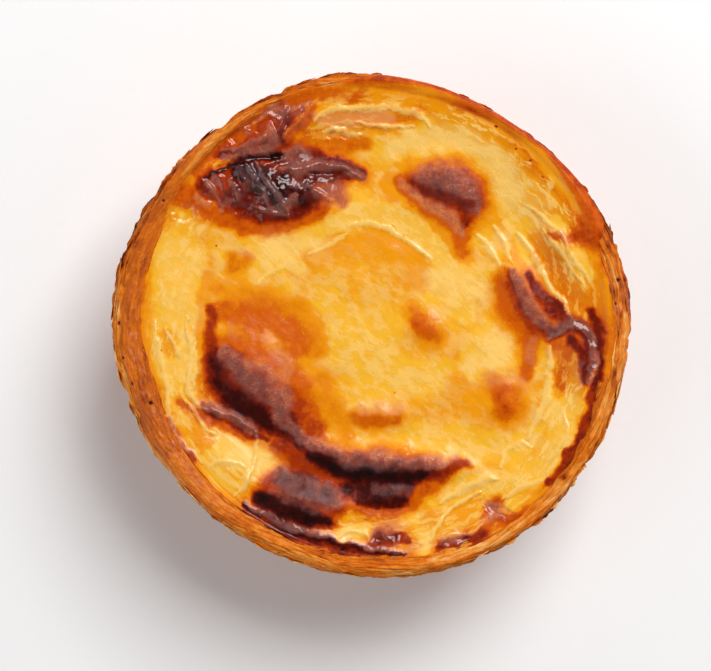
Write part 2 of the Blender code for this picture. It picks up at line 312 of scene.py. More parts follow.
# Where a dry skin lies over the custard, matt and cream, rose or mauve by how far it is baked. Its colour
# holds a painted sheen, the soft light's reflection, most on the slopes of the scorch marks that face the
# light: (skin, strength, softness, path).
SKIN_AND_SHEEN = (
    (0.9, 0.8, 0.7, ((-14.5, 11.2, 2.2), (-9.5, 11.8, 1.6))),
    (0.9, 0.8, 0.6, ((2.5, 25.5, 1.2), (8, 27, 1.3), (14, 26.4, 1.5), (18.6, 22.8, 1.6), (20, 18, 1.6))),
    (0.9, 0.8, 0.7, ((9, 6.5, 1.6), (12, 6.4, 2.2), (15.5, 5, 1.6))),
    (0.9, 0.8, 0.7, ((17.5, -2.5, 2), (18.6, -4.5, 1.6), (14.5, -5.5, 1.2))),
    (0.9, 0.8, 0.6, ((-16.4, -19.4, 2.2), (-20.5, -19.4, 1.2))),
    # far right scorch, mauve with a painted sheen
    (0.85, 0.95, 0.6, ((7.6, 22, 1.5), (10.6, 21.2, 2.3), (13.2, 19.6, 2), (15, 17.2, 0.9))),
    (0.75, 0.9, 0.4, ((4.4, 20.6, 0.6), (7, 18.2, 0.7), (11, 15.9, 0.9), (12.6, 14, 0.8))),
    (0.1, 0.8, 0.5, ((6, 20.9, 0.4), (8.4, 19.2, 0.6), (11.4, 18.4, 0.7), (14.2, 17.4, 0.6))),
    # right edge
    (0.85, 0.95, 0.35, ((20.2, 8.2, 0.5), (21.6, 4.8, 0.9), (23.2, 2.2, 1.1), (24.8, 0.2, 0.9))),
    (0.75, 0.9, 0.4, (
        (25.8, -0.4, 0.8), (28.4, 0.4, 0.8), (30.4, -0.2, 0.6), (31.6, -1.6, 0.6), (31.8, -4.6, 0.6),
        (31.2, -8, 0.5),
    )),
    (0.6, 0.8, 0.5, ((23, -1.8, 0.7), (22.8, -5, 0.6))),
    (0.6, 0.8, 0.5, ((29.8, -5.4, 0.6), (29.6, -8.8, 0.7))),
    # left scorch, its mauve patch a painted sheen on the slope that faces the light
    (0.88, 0.95, 0.35, (
        (-21.6, -3.8, 0.9), (-19.2, -6, 1.8), (-16, -8.2, 2.3), (-13.4, -10.6, 1.9), (-13.4, -13.4, 1),
        (-11, -15.6, 0.9),
    )),
    (0.6, 0.8, 0.5, ((-14, -3.8, 0.9), (-12.6, -5.6, 1.1), (-13.4, -8, 0.9))),
    (0.4, 0.7, 0.5, ((-20.8, 0.6, 0.5), (-20, -1.8, 0.7))),
    (0.3, 0.6, 0.6, ((-15.8, -1.6, 0.5), (-14.6, -2.8, 0.5))),
    (0.85, 0.9, 0.4, ((-25.2, -11, 0.5), (-22.4, -12, 0.7), (-19.6, -13.4, 0.9), (-17, -15, 0.5))),
    # near scorch
    # a painted sheen along the near scorch's slope that faces the light
    (0.85, 0.95, 0.4, (
        (-10.6, -16.2, 0.7), (-6.6, -17.8, 0.9), (-2.6, -19.1, 1.4), (1.6, -19.4, 1.4), (5.4, -19.8, 1),
        (9.6, -19.7, 0.7), (12.4, -19.3, 0.4),
    )),
    (0.6, 0.8, 0.5, ((0.6, -23.4, 0.8), (3, -23.9, 0.9), (5.4, -24, 0.6))),
    (0.85, 0.95, 0.5, ((-13.8, -20.8, 1.1), (-12.2, -22.4, 1.6), (-8.6, -24, 1.7), (-5.6, -25.2, 1.2))),
    (0.5, 0.7, 0.5, ((-14.4, -24, 0.6), (-9.6, -26.2, 0.7), (-6.4, -26.8, 0.6))),
    # a painted highlight along the top of the near scorch's outer fold
    (0.9, 0.95, 0.5, (
        (-18.4, -25.3, 0.25), (-15.2, -27.6, 0.4), (-12, -29, 0.5), (-8, -30, 0.5), (-4.5, -30.7, 0.45),
        (-1, -32, 0.35), (4.6, -33, 0.25),
    )),
    (0.8, 0.9, 0.5, ((-0.4, -30.4, 0.7), (2.4, -29.2, 0.9), (4.8, -28.9, 0.5))),
    (0.8, 0.9, 0.5, ((10.2, -31.2, 0.7), (12.4, -30.4, 0.6))),
    (0.8, 0.9, 0.5, ((16.4, -25.6, 0.5), (18.4, -26.6, 0.6), (15.8, -28.4, 0.4))),
    (0.8, 0.9, 0.4, ((7.8, -31.4, 1), (5, -32.2, 0.6))),
    # small toasted spots
    (0.75, 0.9, 0.5, ((-1.4, -11.9, 0.8), (1.4, -11.7, 0.9), (4.4, -12.2, 0.7))),
    (0.6, 0.8, 0.6, ((16.8, -8, 1), (20.4, -7.2, 0.8), (22.6, -9.6, 0.5))),
    (0.6, 0.9, 0.5, ((-19.2, 10.6, 0.6), (-17.6, 9.8, 0.5))),
    # far fold
    (0.85, 0.9, 0.5, ((-8.2, 30.2, 0.8), (-4.5, 29.4, 1.2), (-1, 30.4, 0.9), (2.8, 30, 0.7))),
    # far left scorch, its lavender patches a painted sheen
    (0.9, 0.95, 0.4, (
        (-12.4, 25, 0.9), (-10.4, 24.6, 1.5), (-11.2, 23, 1.4), (-7.6, 23.5, 0.7), (-4.4, 22.9, 0.7),
        (-1.6, 21.4, 0.5),
    )),
    (0.85, 0.9, 0.5, ((-7.2, 19.6, 1.4), (-5.2, 19.2, 1.6), (-4.4, 17.6, 1.1))),
    (0.85, 0.95, 0.4, (
        (-21.6, 24.2, 0.3), (-18.4, 25, 0.5), (-15.2, 25.4, 0.7), (-14.4, 26.8, 0.7), (-15, 28.6, 0.4),
    )),
    (0.85, 0.95, 0.4, ((-14.8, 31, 0.7), (-12.6, 30.9, 1), (-10.4, 31.5, 0.7), (-8.8, 32.2, 0.4))),
    (0.5, 0.9, 0.5, ((-19.4, 22.6, 0.6), (-17.4, 21.8, 0.8), (-18.4, 20, 0.6))),
    (0.7, 0.9, 0.4, ((-12, 20.6, 0.6), (-9.6, 20.7, 0.6))),
    (0.9, 0.95, 0.3, ((-16.8, 23.4, 0.3), (-15.2, 20.8, 0.35), (-13.6, 18.8, 0.45), (-12.4, 16.6, 0.3))),
    (0.85, 0.9, 0.4, ((-15, 16.6, 0.6), (-12.6, 17.2, 0.8), (-11.2, 18.6, 0.6))),
    (0.7, 0.9, 0.4, ((-23.8, 20.4, 0.5), (-22, 20.6, 0.5))),
    (0.7, 0.9, 0.4, ((-21.8, 16.8, 0.4), (-20.8, 18.4, 0.4))),
    (0.6, 0.9, 0.4, ((-25.6, 18.6, 0.5), (-24, 17.6, 0.5))),
)

# Raised folds of skin: (height, width, skin, path). A negative height is a crease. Along a fold's top the
# skin's colour is laid on with its painted sheen, and pale custard is painted paler, partly pale film and
# partly a painted highlight on the crest.
FOLDS = (
    (0.16, 0.32, 0.9, ((-3.6, 14.6), (-1.2, 15), (2, 14.2), (5.2, 12.4), (8.4, 9.8))),
    (0.12, 0.35, 0.8, ((-9.4, 10.3), (-6.4, 11.8), (-3.6, 13.6))),
    (0.08, 0.35, 0.5, ((-16.6, 6.2), (-13.6, 8.6), (-11.6, 9.8))),
    (0.4, 0.35, 0.9, (
        (-31.6, 0.6), (-30.6, -4.6), (-29.9, -9), (-29.4, -13), (-28, -16.4), (-24.6, -19.8),
    )),
    (0.35, 0.3, 0.9, ((-30, -0.2), (-28.6, -2.6), (-28, -4.4))),
    (0.35, 0.3, 0.9, ((-27.8, -9.6), (-26.2, -12), (-24.2, -14.6), (-22.6, -15.8))),
    (0.5, 0.4, 0.9, (
        (-26.9, 1), (-26.4, -5), (-26.5, -9), (-25, -11.6), (-22.4, -12.3), (-19.4, -13.6), (-16.9, -15.2),
    )),
    (0.35, 0.25, 0.9, ((-25.9, -2), (-25.7, -6), (-25.8, -9.4))),
    (0.35, 0.3, 0.9, ((-16.8, -15.2), (-16.9, -18), (-17.6, -21), (-18.6, -24))),
    (0.3, 0.4, 0.8, ((-23.6, -20.4), (-21.6, -19.4), (-19, -20), (-18.2, -22.6), (-20, -24.6))),
    (0.3, 0.34, 0.9, ((20.6, 13.4), (22.6, 11.6), (24.4, 8.4), (25.6, 5.8), (27.6, 3.2), (29, 1))),
    (0.25, 0.32, 0.9, ((22.4, 17.4), (25, 15.4), (26.6, 13.8), (27.6, 12), (29.2, 9.4), (31.2, 6.4))),
    (0.25, 0.28, 0.9, ((24.4, 14), (26.4, 11.4), (28.8, 8), (30.6, 5.4))),
    (0.3, 0.4, 0.9, ((17.6, 14.4), (19.4, 11.4), (20.4, 9.2))),
    (0.25, 0.45, 0.8, ((15, 13.4), (17.2, 11), (18.4, 8.6))),
    (0.28, 0.4, 0.8, (
        (-8.6, 29.4), (-7.2, 30.9), (-4, 31.4), (0, 31.6), (4, 31.4), (7.2, 30.2), (8.4, 28.6),
    )),
    (0.3, 0.3, 0.9, ((-7.2, 28), (-5.4, 28.5), (-3, 27.8), (-1.4, 27.6))),
    (0.35, 0.3, 0.9, ((-2.6, 29.3), (0.4, 29.2), (3, 28.8), (6, 29))),
    (0.35, 0.55, 0.9, ((9.6, -25.6), (13, -23.8), (16, -22.3), (18, -22))),
    (0.3, 0.3, 0.9, ((8.4, -31), (9.4, -29.2), (10.2, -27.4), (13.4, -25.2), (15.6, -24.2))),
    (0.35, 0.5, 0.9, ((22.6, -16.4), (24, -13.4), (25.2, -10), (25.8, -6), (25.6, -3))),
    (0.25, 0.3, 0.8, ((27.6, -12.6), (28, -15.4), (26.6, -18), (25.2, -19.6))),
    (0.25, 0.4, 0.8, ((24.4, -22), (21.6, -23.4), (19.4, -24.8))),
    (0.2, 0.4, 0.7, ((18.4, -20.4), (19.4, -18.2), (21.4, -17), (23, -17.6))),
    (0.32, 0.5, 0.9, ((25.4, -1.8), (28.2, -0.2), (30.4, -0.4), (31.8, -2), (32, -5), (31.6, -8))),
    (0.55, 0.8, 0, ((-18.8, -25.7), (-15, -28), (-10.6, -29.8), (-5.6, -30.9), (-1, -32.2), (4.4, -33))),
    (0.3, 0.35, 0.8, ((-5, -30.4), (-3.2, -29.4), (-1.2, -29.9), (-0.6, -31))),
    (0.3, 0.3, 0.8, ((9.6, -31.8), (11.4, -30.2), (13.6, -30), (16, -28.6))),
    (0.7, 0.42, 0.8, ((-17, 23.8), (-15.6, 21.2), (-14, 19), (-12.6, 17.2), (-12.2, 15.6))),
    (0.5, 0.36, 0.7, ((-18.4, 23.6), (-16.8, 21.2), (-15.6, 18.8), (-14.8, 16.6))),
    (0.6, 0.55, 0.8, ((-13.6, 22.9), (-10.6, 22.9), (-7.4, 23.5), (-4.2, 22.9), (-1.8, 21.4))),
    (0.4, 0.36, 0.6, ((-20.4, 21.2), (-19.6, 19.4), (-19.8, 17.8))),
    (0.45, 0.4, 0.7, ((-9.4, 20.9), (-8, 19.2), (-6, 18.2))),
    (0.4, 0.35, 0.7, ((-24, 20.8), (-22.8, 19), (-21.8, 17.4))),
    (0.4, 0.35, 0.7, ((-17.4, 17.4), (-14.8, 16.4), (-12.2, 15.8))),
    (0.45, 0.45, 0.7, ((-21.8, 25.2), (-18.2, 25.9), (-15.6, 27.2), (-14.8, 29.2))),
    (0.45, 0.4, 0.7, ((-17.2, 29.4), (-14.8, 30.8), (-12.2, 31.6))),
    (0.7, 0.36, 0.2, ((-12.8, 26.8), (-11.8, 28.6), (-10.2, 30.4), (-8.6, 32))),
    (0.5, 0.3, 0.2, ((-13.4, 28.2), (-12.6, 29.8), (-10.4, 31.6))),
    (-0.7, 0.45, 0, ((-22.6, 22.8), (-19.6, 23.9), (-16, 24.3), (-12.8, 24.8))),
    (-0.5, 0.35, 0, ((-9.2, 22), (-6, 22.2), (-3.4, 22.2))),
    (-0.5, 0.45, 0, ((-2.4, -26.2), (1, -26.6), (5, -26.2))),
)

# Where torn wisps of film gather along the pastry: (amount, strength, softness, path).
WISPS = (
    (1, 1, 0.6, ((11, 31.4, 1), (17, 28.6, 1.7), (22.4, 24.8, 2), (26.6, 19.8, 1.9), (29, 14.6, 1.4))),
    (0.9, 1, 0.6, ((22.6, 17, 1.6), (25.4, 12.6, 1.8), (28.6, 8, 1.6))),
    (0.9, 1, 0.6, ((-31.4, 6, 1), (-30.6, -3, 1.6), (-28.8, -9, 1.8))),
    (0.9, 1, 0.6, ((27.4, -8, 1.6), (27.6, -14, 1.8), (24.6, -20.4, 1.6), (19, -24, 1.4))),
)

# Where the custard is wet and glossy with melted sugar: paths of (x, y, radius).
SUGAR = (
    ((-23, 19.5, 2.2), (-17, 20, 4.6), (-12, 20.5, 4.4), (-8, 21, 2.4)),
    ((-19, 26.5, 2), (-15, 29, 3), (-11, 30.5, 2)),
    ((-6.5, 28.2, 0.7), (-2, 28, 0.8)),
    ((-28.6, 16, 0.8), (-26, 17, 1.2)),
    ((25.6, -1.2, 0.4), (28.4, 0.2, 0.6), (30.6, -0.4, 0.6), (31.9, -2.6, 0.6), (31.9, -6.4, 0.5)),
    ((16.8, -26.2, 0.7), (19.4, -27.4, 0.7)),
    ((10.6, -31.6, 0.5), (13.6, -30.8, 0.5)),
    ((-0.4, -31.2, 0.5), (3.4, -30.6, 0.7)),
)

# How much of the lip the custard's glaze covers, as a share of the lip's width: (share, strength, softness,
# path) with the path on a circle of radius 1.
LAPS = (
    (0.88, 1, 0.9, ((0.88, 0.44, 0.1), (0.7, 0.7, 0.32), (0.36, 0.93, 0.28), (0.08, 1, 0.18))),
    (0.4, 1, 0.5, ((1, 0.12, 0.14), (1, -0.2, 0.1))),
    (0.45, 1, 0.5, ((-0.3, 0.95, 0.12), (-0.5, 0.86, 0.12))),
)

# Burnt specks on the custard: (x, y, radius).
SPECKS = (
    (17.7, 28.7, 0.12),
    (-22.7, 11.6, 0.1),
    (9.2, -13.2, 0.08),
    (20.6, 25.4, 0.08),
    (22.6, 23.8, 0.09),
    (24.4, 21.4, 0.09),
    (-30.6, -3.6, 0.09),
    (3.2, -9.8, 0.08),
)

# How far the pastry is baked, seen from above, from 0, pale dough, to 1, charred: (tone, strength, softness,
# path).
RIM_BAKING = (
    (0.62, 0.9, 0.6, (
        (-30.6, 18.6, 1.6), (-33, 13, 1.8), (-34, 6, 1.9), (-34.2, -2, 1.9), (-33, -8, 1.9),
        (-31.4, -13, 1.6), (-29, -17.6, 1.4),
    )),
    (0.74, 0.8, 0.6, ((-35.4, 14.6, 0.9), (-36.4, 9, 0.8))),
    (0.24, 0.9, 0.6, ((-36.8, 5, 0.8), (-37.2, 0, 0.7), (-37, -4, 0.6))),
    (0.18, 0.9, 0.6, (
        (-36.8, -6, 0.6), (-35.8, -10.5, 0.8), (-33.4, -16, 0.8), (-29.4, -21.4, 0.7), (-25, -26, 0.6),
    )),
    (0.72, 0.8, 0.6, (
        (-31.8, 8, 0.35), (-32.2, 2, 0.4), (-32.2, -4, 0.35), (-30.8, -10, 0.35), (-28.6, -15, 0.35),
    )),
    (0.42, 0.8, 0.6, ((-28.2, -19, 1.1), (-24.6, -23.4, 1.2), (-20, -27.4, 1.2), (-14.4, -31, 1.1))),
    (0.28, 0.8, 0.7, ((-22, -28.4, 0.8), (-16.4, -32.2, 0.8), (-9, -34.6, 0.7))),
    (0.46, 0.7, 0.7, ((-11, -32.8, 1.2), (-4, -34, 1.2), (3, -34.6, 1.1), (8, -34, 1))),
    (0.24, 0.8, 0.7, ((9, -33.8, 1), (16, -31.2, 1.2), (22, -27.6, 1.2), (27.6, -22.4, 1.1))),
    (0.8, 0.8, 0.5, ((33, -9, 0.5), (31.8, -14, 0.5), (30.2, -18, 0.5), (27.6, -21.8, 0.45))),
    (0.34, 0.8, 0.7, ((28.6, -20.6, 1), (31.6, -15.6, 1.1), (33.6, -10, 1.2))),
    (0.64, 0.8, 0.6, ((34.6, -8, 1), (35.6, -3, 1.1), (35.4, 1, 1))),
    (0.16, 0.85, 0.6, ((33.6, 3, 0.7), (33.9, -1, 0.9), (34.2, -5.4, 0.7))),
    (0.18, 0.8, 0.6, ((36.2, 1.6, 0.5), (36.2, -3.4, 0.6), (35.4, -7.4, 0.5))),
    (0.58, 0.8, 0.6, ((36.4, 3, 0.9), (35.6, 7, 1.2), (34, 12, 1.3), (31.6, 16.6, 1.3))),
    (0.78, 0.6, 0.7, ((34.6, 9, 0.6), (33.2, 12.6, 0.8), (31.2, 16.8, 0.7))),
    (0.22, 0.85, 0.6, ((34.8, 5.6, 0.45), (33.6, 9.6, 0.5), (31.6, 14, 0.4))),
    (0.6, 0.9, 0.6, (
        (29.6, 19.6, 1.5), (25.6, 24.6, 1.6), (19.4, 29.4, 1.5), (12.4, 33, 1.4), (5.6, 35.2, 1.2),
    )),
    (0.88, 0.85, 0.8, (
        (34.6, 12.4, 0.5), (31.9, 18.4, 0.6), (27.2, 24.8, 0.6), (20.8, 30.4, 0.55), (13, 34.5, 0.5),
    )),
    (0.52, 0.8, 0.6, ((26.6, 21.4, 0.6), (22, 26.2, 0.6), (16, 30, 0.6), (10, 32.6, 0.5))),
    (0.95, 0.8, 0.5, ((23.6, 27.6, 0.45), (25.6, 25.8, 0.5), (27.2, 23.4, 0.4))),
    (0.92, 0.7, 0.5, ((11.6, 34.2, 0.3), (14.2, 33.2, 0.35), (19.2, 30.8, 0.3))),
    (0.55, 0.8, 0.6, ((5, 35.6, 1.1), (-1, 36, 1.1), (-6.6, 35.2, 1))),
    (0.12, 0.9, 0.6, ((-13, 32.6, 0.35), (-8, 34.2, 0.45), (-3, 34.6, 0.5), (2, 34.7, 0.4), (6, 34, 0.3))),
    (0.6, 0.8, 0.6, (
        (-9, 35.2, 0.8), (-15, 33.2, 1), (-21.4, 30.2, 1), (-26.4, 25.6, 1.3), (-29.6, 20.6, 1.2),
    )),
    (0.27, 0.8, 0.6, ((-14, 32.2, 0.3), (-17.8, 30.5, 0.35), (-23.3, 26.3, 0.35), (-27.1, 21.8, 0.3))),
    (0.66, 0.8, 0.6, ((-11.8, 34.3, 0.35), (-18.1, 31.7, 0.4), (-23.5, 28.1, 0.45), (-27.4, 24.2, 0.4))),
)

# Dark pits in the pastry: (x, y, radius).
PITS = (
    (-36, -4.6, 0.18),
    (-34.6, -8.3, 0.15),
    (-31.9, -11.1, 0.21),
    (-33.1, -3.4, 0.1),
    (-30.1, 18, 0.14),
    (-36.8, 0.4, 0.17),
    (35.2, 6.6, 0.17),
    (34.8, 3.2, 0.14),
    (-17.6, -31, 0.13),
)

# Bigger crumbs on the pastry's edge: (direction in degrees, share of the way up, length, width, lift).
CRUMBS = (
    (139.5, 0.93, 1.6, 1, 0.9),
    (141.5, 0.9, 1, 0.8, 0.6),
    (-44.5, 0.93, 1.6, 0.9, 0.7),
    (-50, 0.91, 1.8, 0.8, 0.7),
    (-57.5, 0.93, 1.6, 0.9, 0.6),
    (-38, 0.93, 1.3, 0.8, 0.6),
    (-22.5, 0.93, 1.8, 0.9, 0.6),
    (154, 0.92, 1.4, 0.8, 0.5),
    (33, 0.93, 1.5, 0.8, 0.4),
    (-108, 0.92, 2.2, 0.9, 0.5),
    (-125, 0.92, 2, 0.9, 0.5),
    (-140, 0.92, 1.8, 0.8, 0.5),
)


# ---------------------------------------------------------------- number work


def smooth(share):
    """An S curve from 0 to 1."""
    share = np.clip(share, 0.0, 1.0)
    return share * share * (3 - 2 * share)


def gradient_noise(u, v, seed, wrap=0):
    """Smooth noise from about -1 to 1 over unit cells. With wrap it repeats after that many cells of u."""
    turns = np.random.default_rng(seed).uniform(0, TURN, (NOISE_CELLS, NOISE_CELLS))
    cell_u, cell_v = np.floor(u).astype(int), np.floor(v).astype(int)
    part_u, part_v = u - cell_u, v - cell_v

    def pull(step_u, step_v):
        column = (cell_u + step_u) % wrap if wrap else cell_u + step_u
        turn = turns[column % NOISE_CELLS, (cell_v + step_v) % NOISE_CELLS]
        return np.cos(turn) * (part_u - step_u) + np.sin(turn) * (part_v - step_v)

    ease_u = part_u**3 * (part_u * (part_u * 6 - 15) + 10)
    ease_v = part_v**3 * (part_v * (part_v * 6 - 15) + 10)
    near = pull(0, 0) * (1 - ease_u) + pull(1, 0) * ease_u
    far = pull(0, 1) * (1 - ease_u) + pull(1, 1) * ease_u
    return 1.5 * (near * (1 - ease_v) + far * ease_v)


def mottle(x, y, size, seed, octaves=1, stretch=1.0, direction=0.0):
    """Noise over the plane with marks of this size in millimetres, drawn out along a direction in degrees."""
    turn = math.radians(direction)
    along = (x * math.cos(turn) + y * math.sin(turn)) / (size * stretch)
    across = (y * math.cos(turn) - x * math.sin(turn)) / size
    total = 0.0
    for octave in range(octaves):
        total = total + gradient_noise(along * 2**octave, across * 2**octave, seed + octave) / 2**octave
    return total


def creased(x, y, size, seed):
    """Noise with sharp ridges, from 0 to 0.67, as crumpled skin has."""
    fold = 1 - np.abs(gradient_noise(x / size, y / size, seed)) * 1.6
    return np.clip(fold, 0, 1) ** 2 / 1.5


def through(points, steps=5):
    """A smooth line through the points, each a place with anything else that changes along the line."""
    knots = np.array([points[0], *points, points[-1]], float)
    line = []
    for before, start, end, after in zip(knots, knots[1:], knots[2:], knots[3:]):
        for share in np.arange(steps) / steps:
            place = 2 * start + (end - before) * share
            place = place + (2 * before - 5 * start + 4 * end - after) * share**2
            place = place + (3 * start - before - 3 * end + after) * share**3
            line.append(0.5 * place)
    return np.array([*line, knots[-1]])


def from_path(x, y, path):
    """How far each place is from a path, as a share of the path's radius there."""
    line = through(path)
    nearest = np.full(x.shape, 1e9)
    for start, end in zip(line, line[1:]):
        run = end[:2] - start[:2]
        share = np.clip(((x - start[0]) * run[0] + (y - start[1]) * run[1]) / max(run @ run, 1e-9), 0, 1)
        radius = start[2] + share * (end[2] - start[2])
        away = np.hypot(x - start[0] - share * run[0], y - start[1] - share * run[1])
        nearest = np.minimum(nearest, away / np.maximum(radius, 0.05))
    return nearest


def painted(ground, x, y, strokes):
    """The ground with soft-edged strokes of (value, strength, softness, path) laid over it in order."""
    for value, strength, softness, path in strokes:
        cover = strength * smooth((1 + softness - from_path(x, y, path)) / (2 * softness))
        ground = ground + (value - ground) * cover
    return ground


def glow_round(x, y, strokes):
    """The browning that spreads a little way round each scorched stroke, from 0 to 1."""
    glow = np.zeros_like(x)
    for value, _, _, path in strokes:
        if value > SCORCHING:
            wide = [(px, py, radius + 0.9 + 0.25 * radius) for px, py, radius in path]
            glow = np.maximum(glow, smooth((1.5 - from_path(x, y, wide)) / 0.9))
    return glow


class Round:
    """A size that changes with the angle round the tart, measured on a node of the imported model."""

    def __init__(self, node, measure):
        points = np.array([v.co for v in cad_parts[node].data.vertices]) / MM
        reach = np.hypot(points[:, 0], points[:, 1])
        side = np.arctan2(points[:, 1], points[:, 0]) / TURN * CAD_SIDES
        side = np.round(side).astype(int) % CAD_SIDES
        sizes = [measure(reach[side == k], points[side == k, 2]) for k in range(CAD_SIDES)]
        self.spectrum = np.fft.rfft(sizes)[:OUTLINE_WAVES] / CAD_SIDES

    def __call__(self, angle):
        total = np.full(np.shape(angle), self.spectrum[0].real)
        for count, term in enumerate(self.spectrum[1:], 1):
            total = total + 2 * (term.real * np.cos(count * angle) - term.imag * np.sin(count * angle))
        return total


def widest(reach, height):
    return reach.max()


def highest(reach, height):
    return height.max()


rim_radius = Round(PASTRY_NODE, widest)
rim_height = Round(PASTRY_NODE, highest)
custard_reach = Round(CUSTARD_NODE, widest)


def custard_radius(angle):
    """Where the custard meets the pastry."""
    return custard_reach(angle) + CUSTARD_GAP


# ---------------------------------------------------------------- mesh and piece helpers


def numbers(mesh, name, values):
    """Stores one number for each point of the mesh, for its material to read."""
    made = mesh.attributes.new(name, "FLOAT", "POINT")
    made.data.foreach_set("value", np.asarray(values, np.float32))


def lay_out(mesh, places):
    """Gives the mesh a flat map with a place for each corner."""
    layer = mesh.uv_layers.new(name=BAKE_MAP)
    layer.data.foreach_set("uv", np.asarray(places, np.float32).ravel())


def piece_of(name, points, faces, material, replaces=()):
    """A finished piece of the tart that rides on its body. Points are in millimetres."""
    mesh = bpy.data.meshes.new(name)
    mesh.from_pydata((np.asarray(points) * MM).tolist(), [], faces)
    mesh.update()
    mesh.shade_smooth()
    mesh.materials.append(material)
    piece = bpy.data.objects.new(name, mesh)
    bpy.context.scene.collection.objects.link(piece)
    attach(piece, ROOT)
    if replaces:
        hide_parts(*replaces)
    return piece


# ---------------------------------------------------------------- shader expressions


class Shade:
    """One output of a material's nodes. Arithmetic on it adds Math nodes, so 1 - mask reads as written."""

    def __init__(self, tree, socket=None):
        self.tree, self.socket = tree, socket

    def node(self, kind, settings=None, output=0, **inputs):
        """A node of this type: its settings come first, then its inputs by name, or by place as in0, in1."""
        made = self.tree.nodes.new("ShaderNode" + kind)
        for name, value in (settings or {}).items():
            if name == "stops":
                self.set_stops(made.color_ramp, value)
            else:
                setattr(made, name, value)
        for name, value in inputs.items():
            place = int(name[2:]) if name[:2] == "in" and name[2:].isdigit() else name.replace("_", " ")
            if isinstance(value, Shade):
                self.tree.links.new(value.socket, made.inputs[place])
            else:
                made.inputs[place].default_value = value
        return Shade(self.tree, made.outputs[output])

    @staticmethod
    def set_stops(ramp, stops):
        ramp.interpolation = "EASE"
        while len(ramp.elements) < len(stops):
            ramp.elements.new(1.0)
        for element, (place, colour) in zip(ramp.elements, stops):
            element.position, element.color = place, (*colour, 1)

    def maths(self, operation, *values, kind="Math", output=0):
        places = {f"in{place}": value for place, value in enumerate(values)}
        return self.node(kind, {"operation": operation}, output, **places)

    def vector(self, operation, *values, output=0):
        return self.maths(operation, *values, kind="VectorMath", output=output)

    def __add__(self, other):
        return self.maths("ADD", self, other)

    __radd__ = __add__

    def __sub__(self, other):
        return self.maths("SUBTRACT", self, other)

    def __rsub__(self, other):
        return self.maths("SUBTRACT", other, self)

    def __mul__(self, other):
        return self.maths("MULTIPLY", self, other)

    __rmul__ = __mul__

    def number(self, name):
        """A number stored on the points of the mesh."""
        return self.node("Attribute", {"attribute_name": name}, output="Fac")

    def size(self):
        return self.maths("ABSOLUTE", self)

    def held(self):
        """The value kept between 0 and 1."""
        return self.node("Clamp", in0=self)

    def span(self, low, high):
        """0 at low and 1 at high, eased in between."""
        return self.node("MapRange", {"interpolation_type": "SMOOTHSTEP"}, in0=self, in1=low, in2=high)

    def mixed(self, first, second):
        """A colour from first to second by this value."""
        return self.node("Mix", {"data_type": "RGBA"}, output=2, in0=self, in6=first, in7=second)


def shading(name):
    """A new material, its Principled shader and a Shade to build on."""
    material = bpy.data.materials.new(name)
    material.use_nodes = True
    tree = material.node_tree
    return material, tree.nodes["Principled BSDF"], Shade(tree)


def connect(shade, socket):
    shade.tree.links.new(shade.socket, socket)


def bent_places(shade, where, scale, reach):
    """The places moved about by smooth noise, so that marks drawn over them wander."""
    push = shade.node("TexNoise", output="Color", Vector=where, Scale=scale, Detail=2.0)
    return shade.vector("MULTIPLY_ADD", push, (reach, reach, 0.0), where)


def round_streaks(shade, where, length, width, level=0.0):
    """Noise drawn out round the tart, this long and this wide in millimetres."""
    flat = shade.vector("MULTIPLY", where, (1.0, 1.0, 0.0))
    around = shade.vector("NORMALIZE", flat)
    reach = shade.vector("LENGTH", flat, output="Value")
    across = shade.node("CombineXYZ", Z=reach * (1000 / width))
    turns = MEAN_RADIUS / length
    place = shade.vector("MULTIPLY_ADD", around, (turns, turns, 0.0), across)
    level = level * (1000 / width)
    return shade.node("TexNoise", {"noise_dimensions": "4D"}, Vector=place, W=level, Scale=1.0, Detail=2.0)


def tint(red, green, blue):
    """A colour in linear light from its usual 0 to 255 numbers."""
    shares = [channel / 255 for channel in (red, green, blue)]
    return tuple(((share + 0.055) / 1.055) ** 2.4 if share > 0.04 else share / 12.92 for share in shares)


def colour_setting(name, default, description):
    return bpy.props.FloatVectorProperty(
        name=name, description=description, subtype="COLOR", size=3, min=0, max=1, default=default
    )


def distance_setting(name, default, description):
    return bpy.props.FloatProperty(
        name=name, description=description, unit="LENGTH", subtype="DISTANCE", precision=5, min=0,
        default=default,
    )


def height_setting(name, description):
    return bpy.props.FloatProperty(
        name=name, description=description, subtype="FACTOR", default=1, min=0, max=2
    )


# ---------------------------------------------------------------- settings


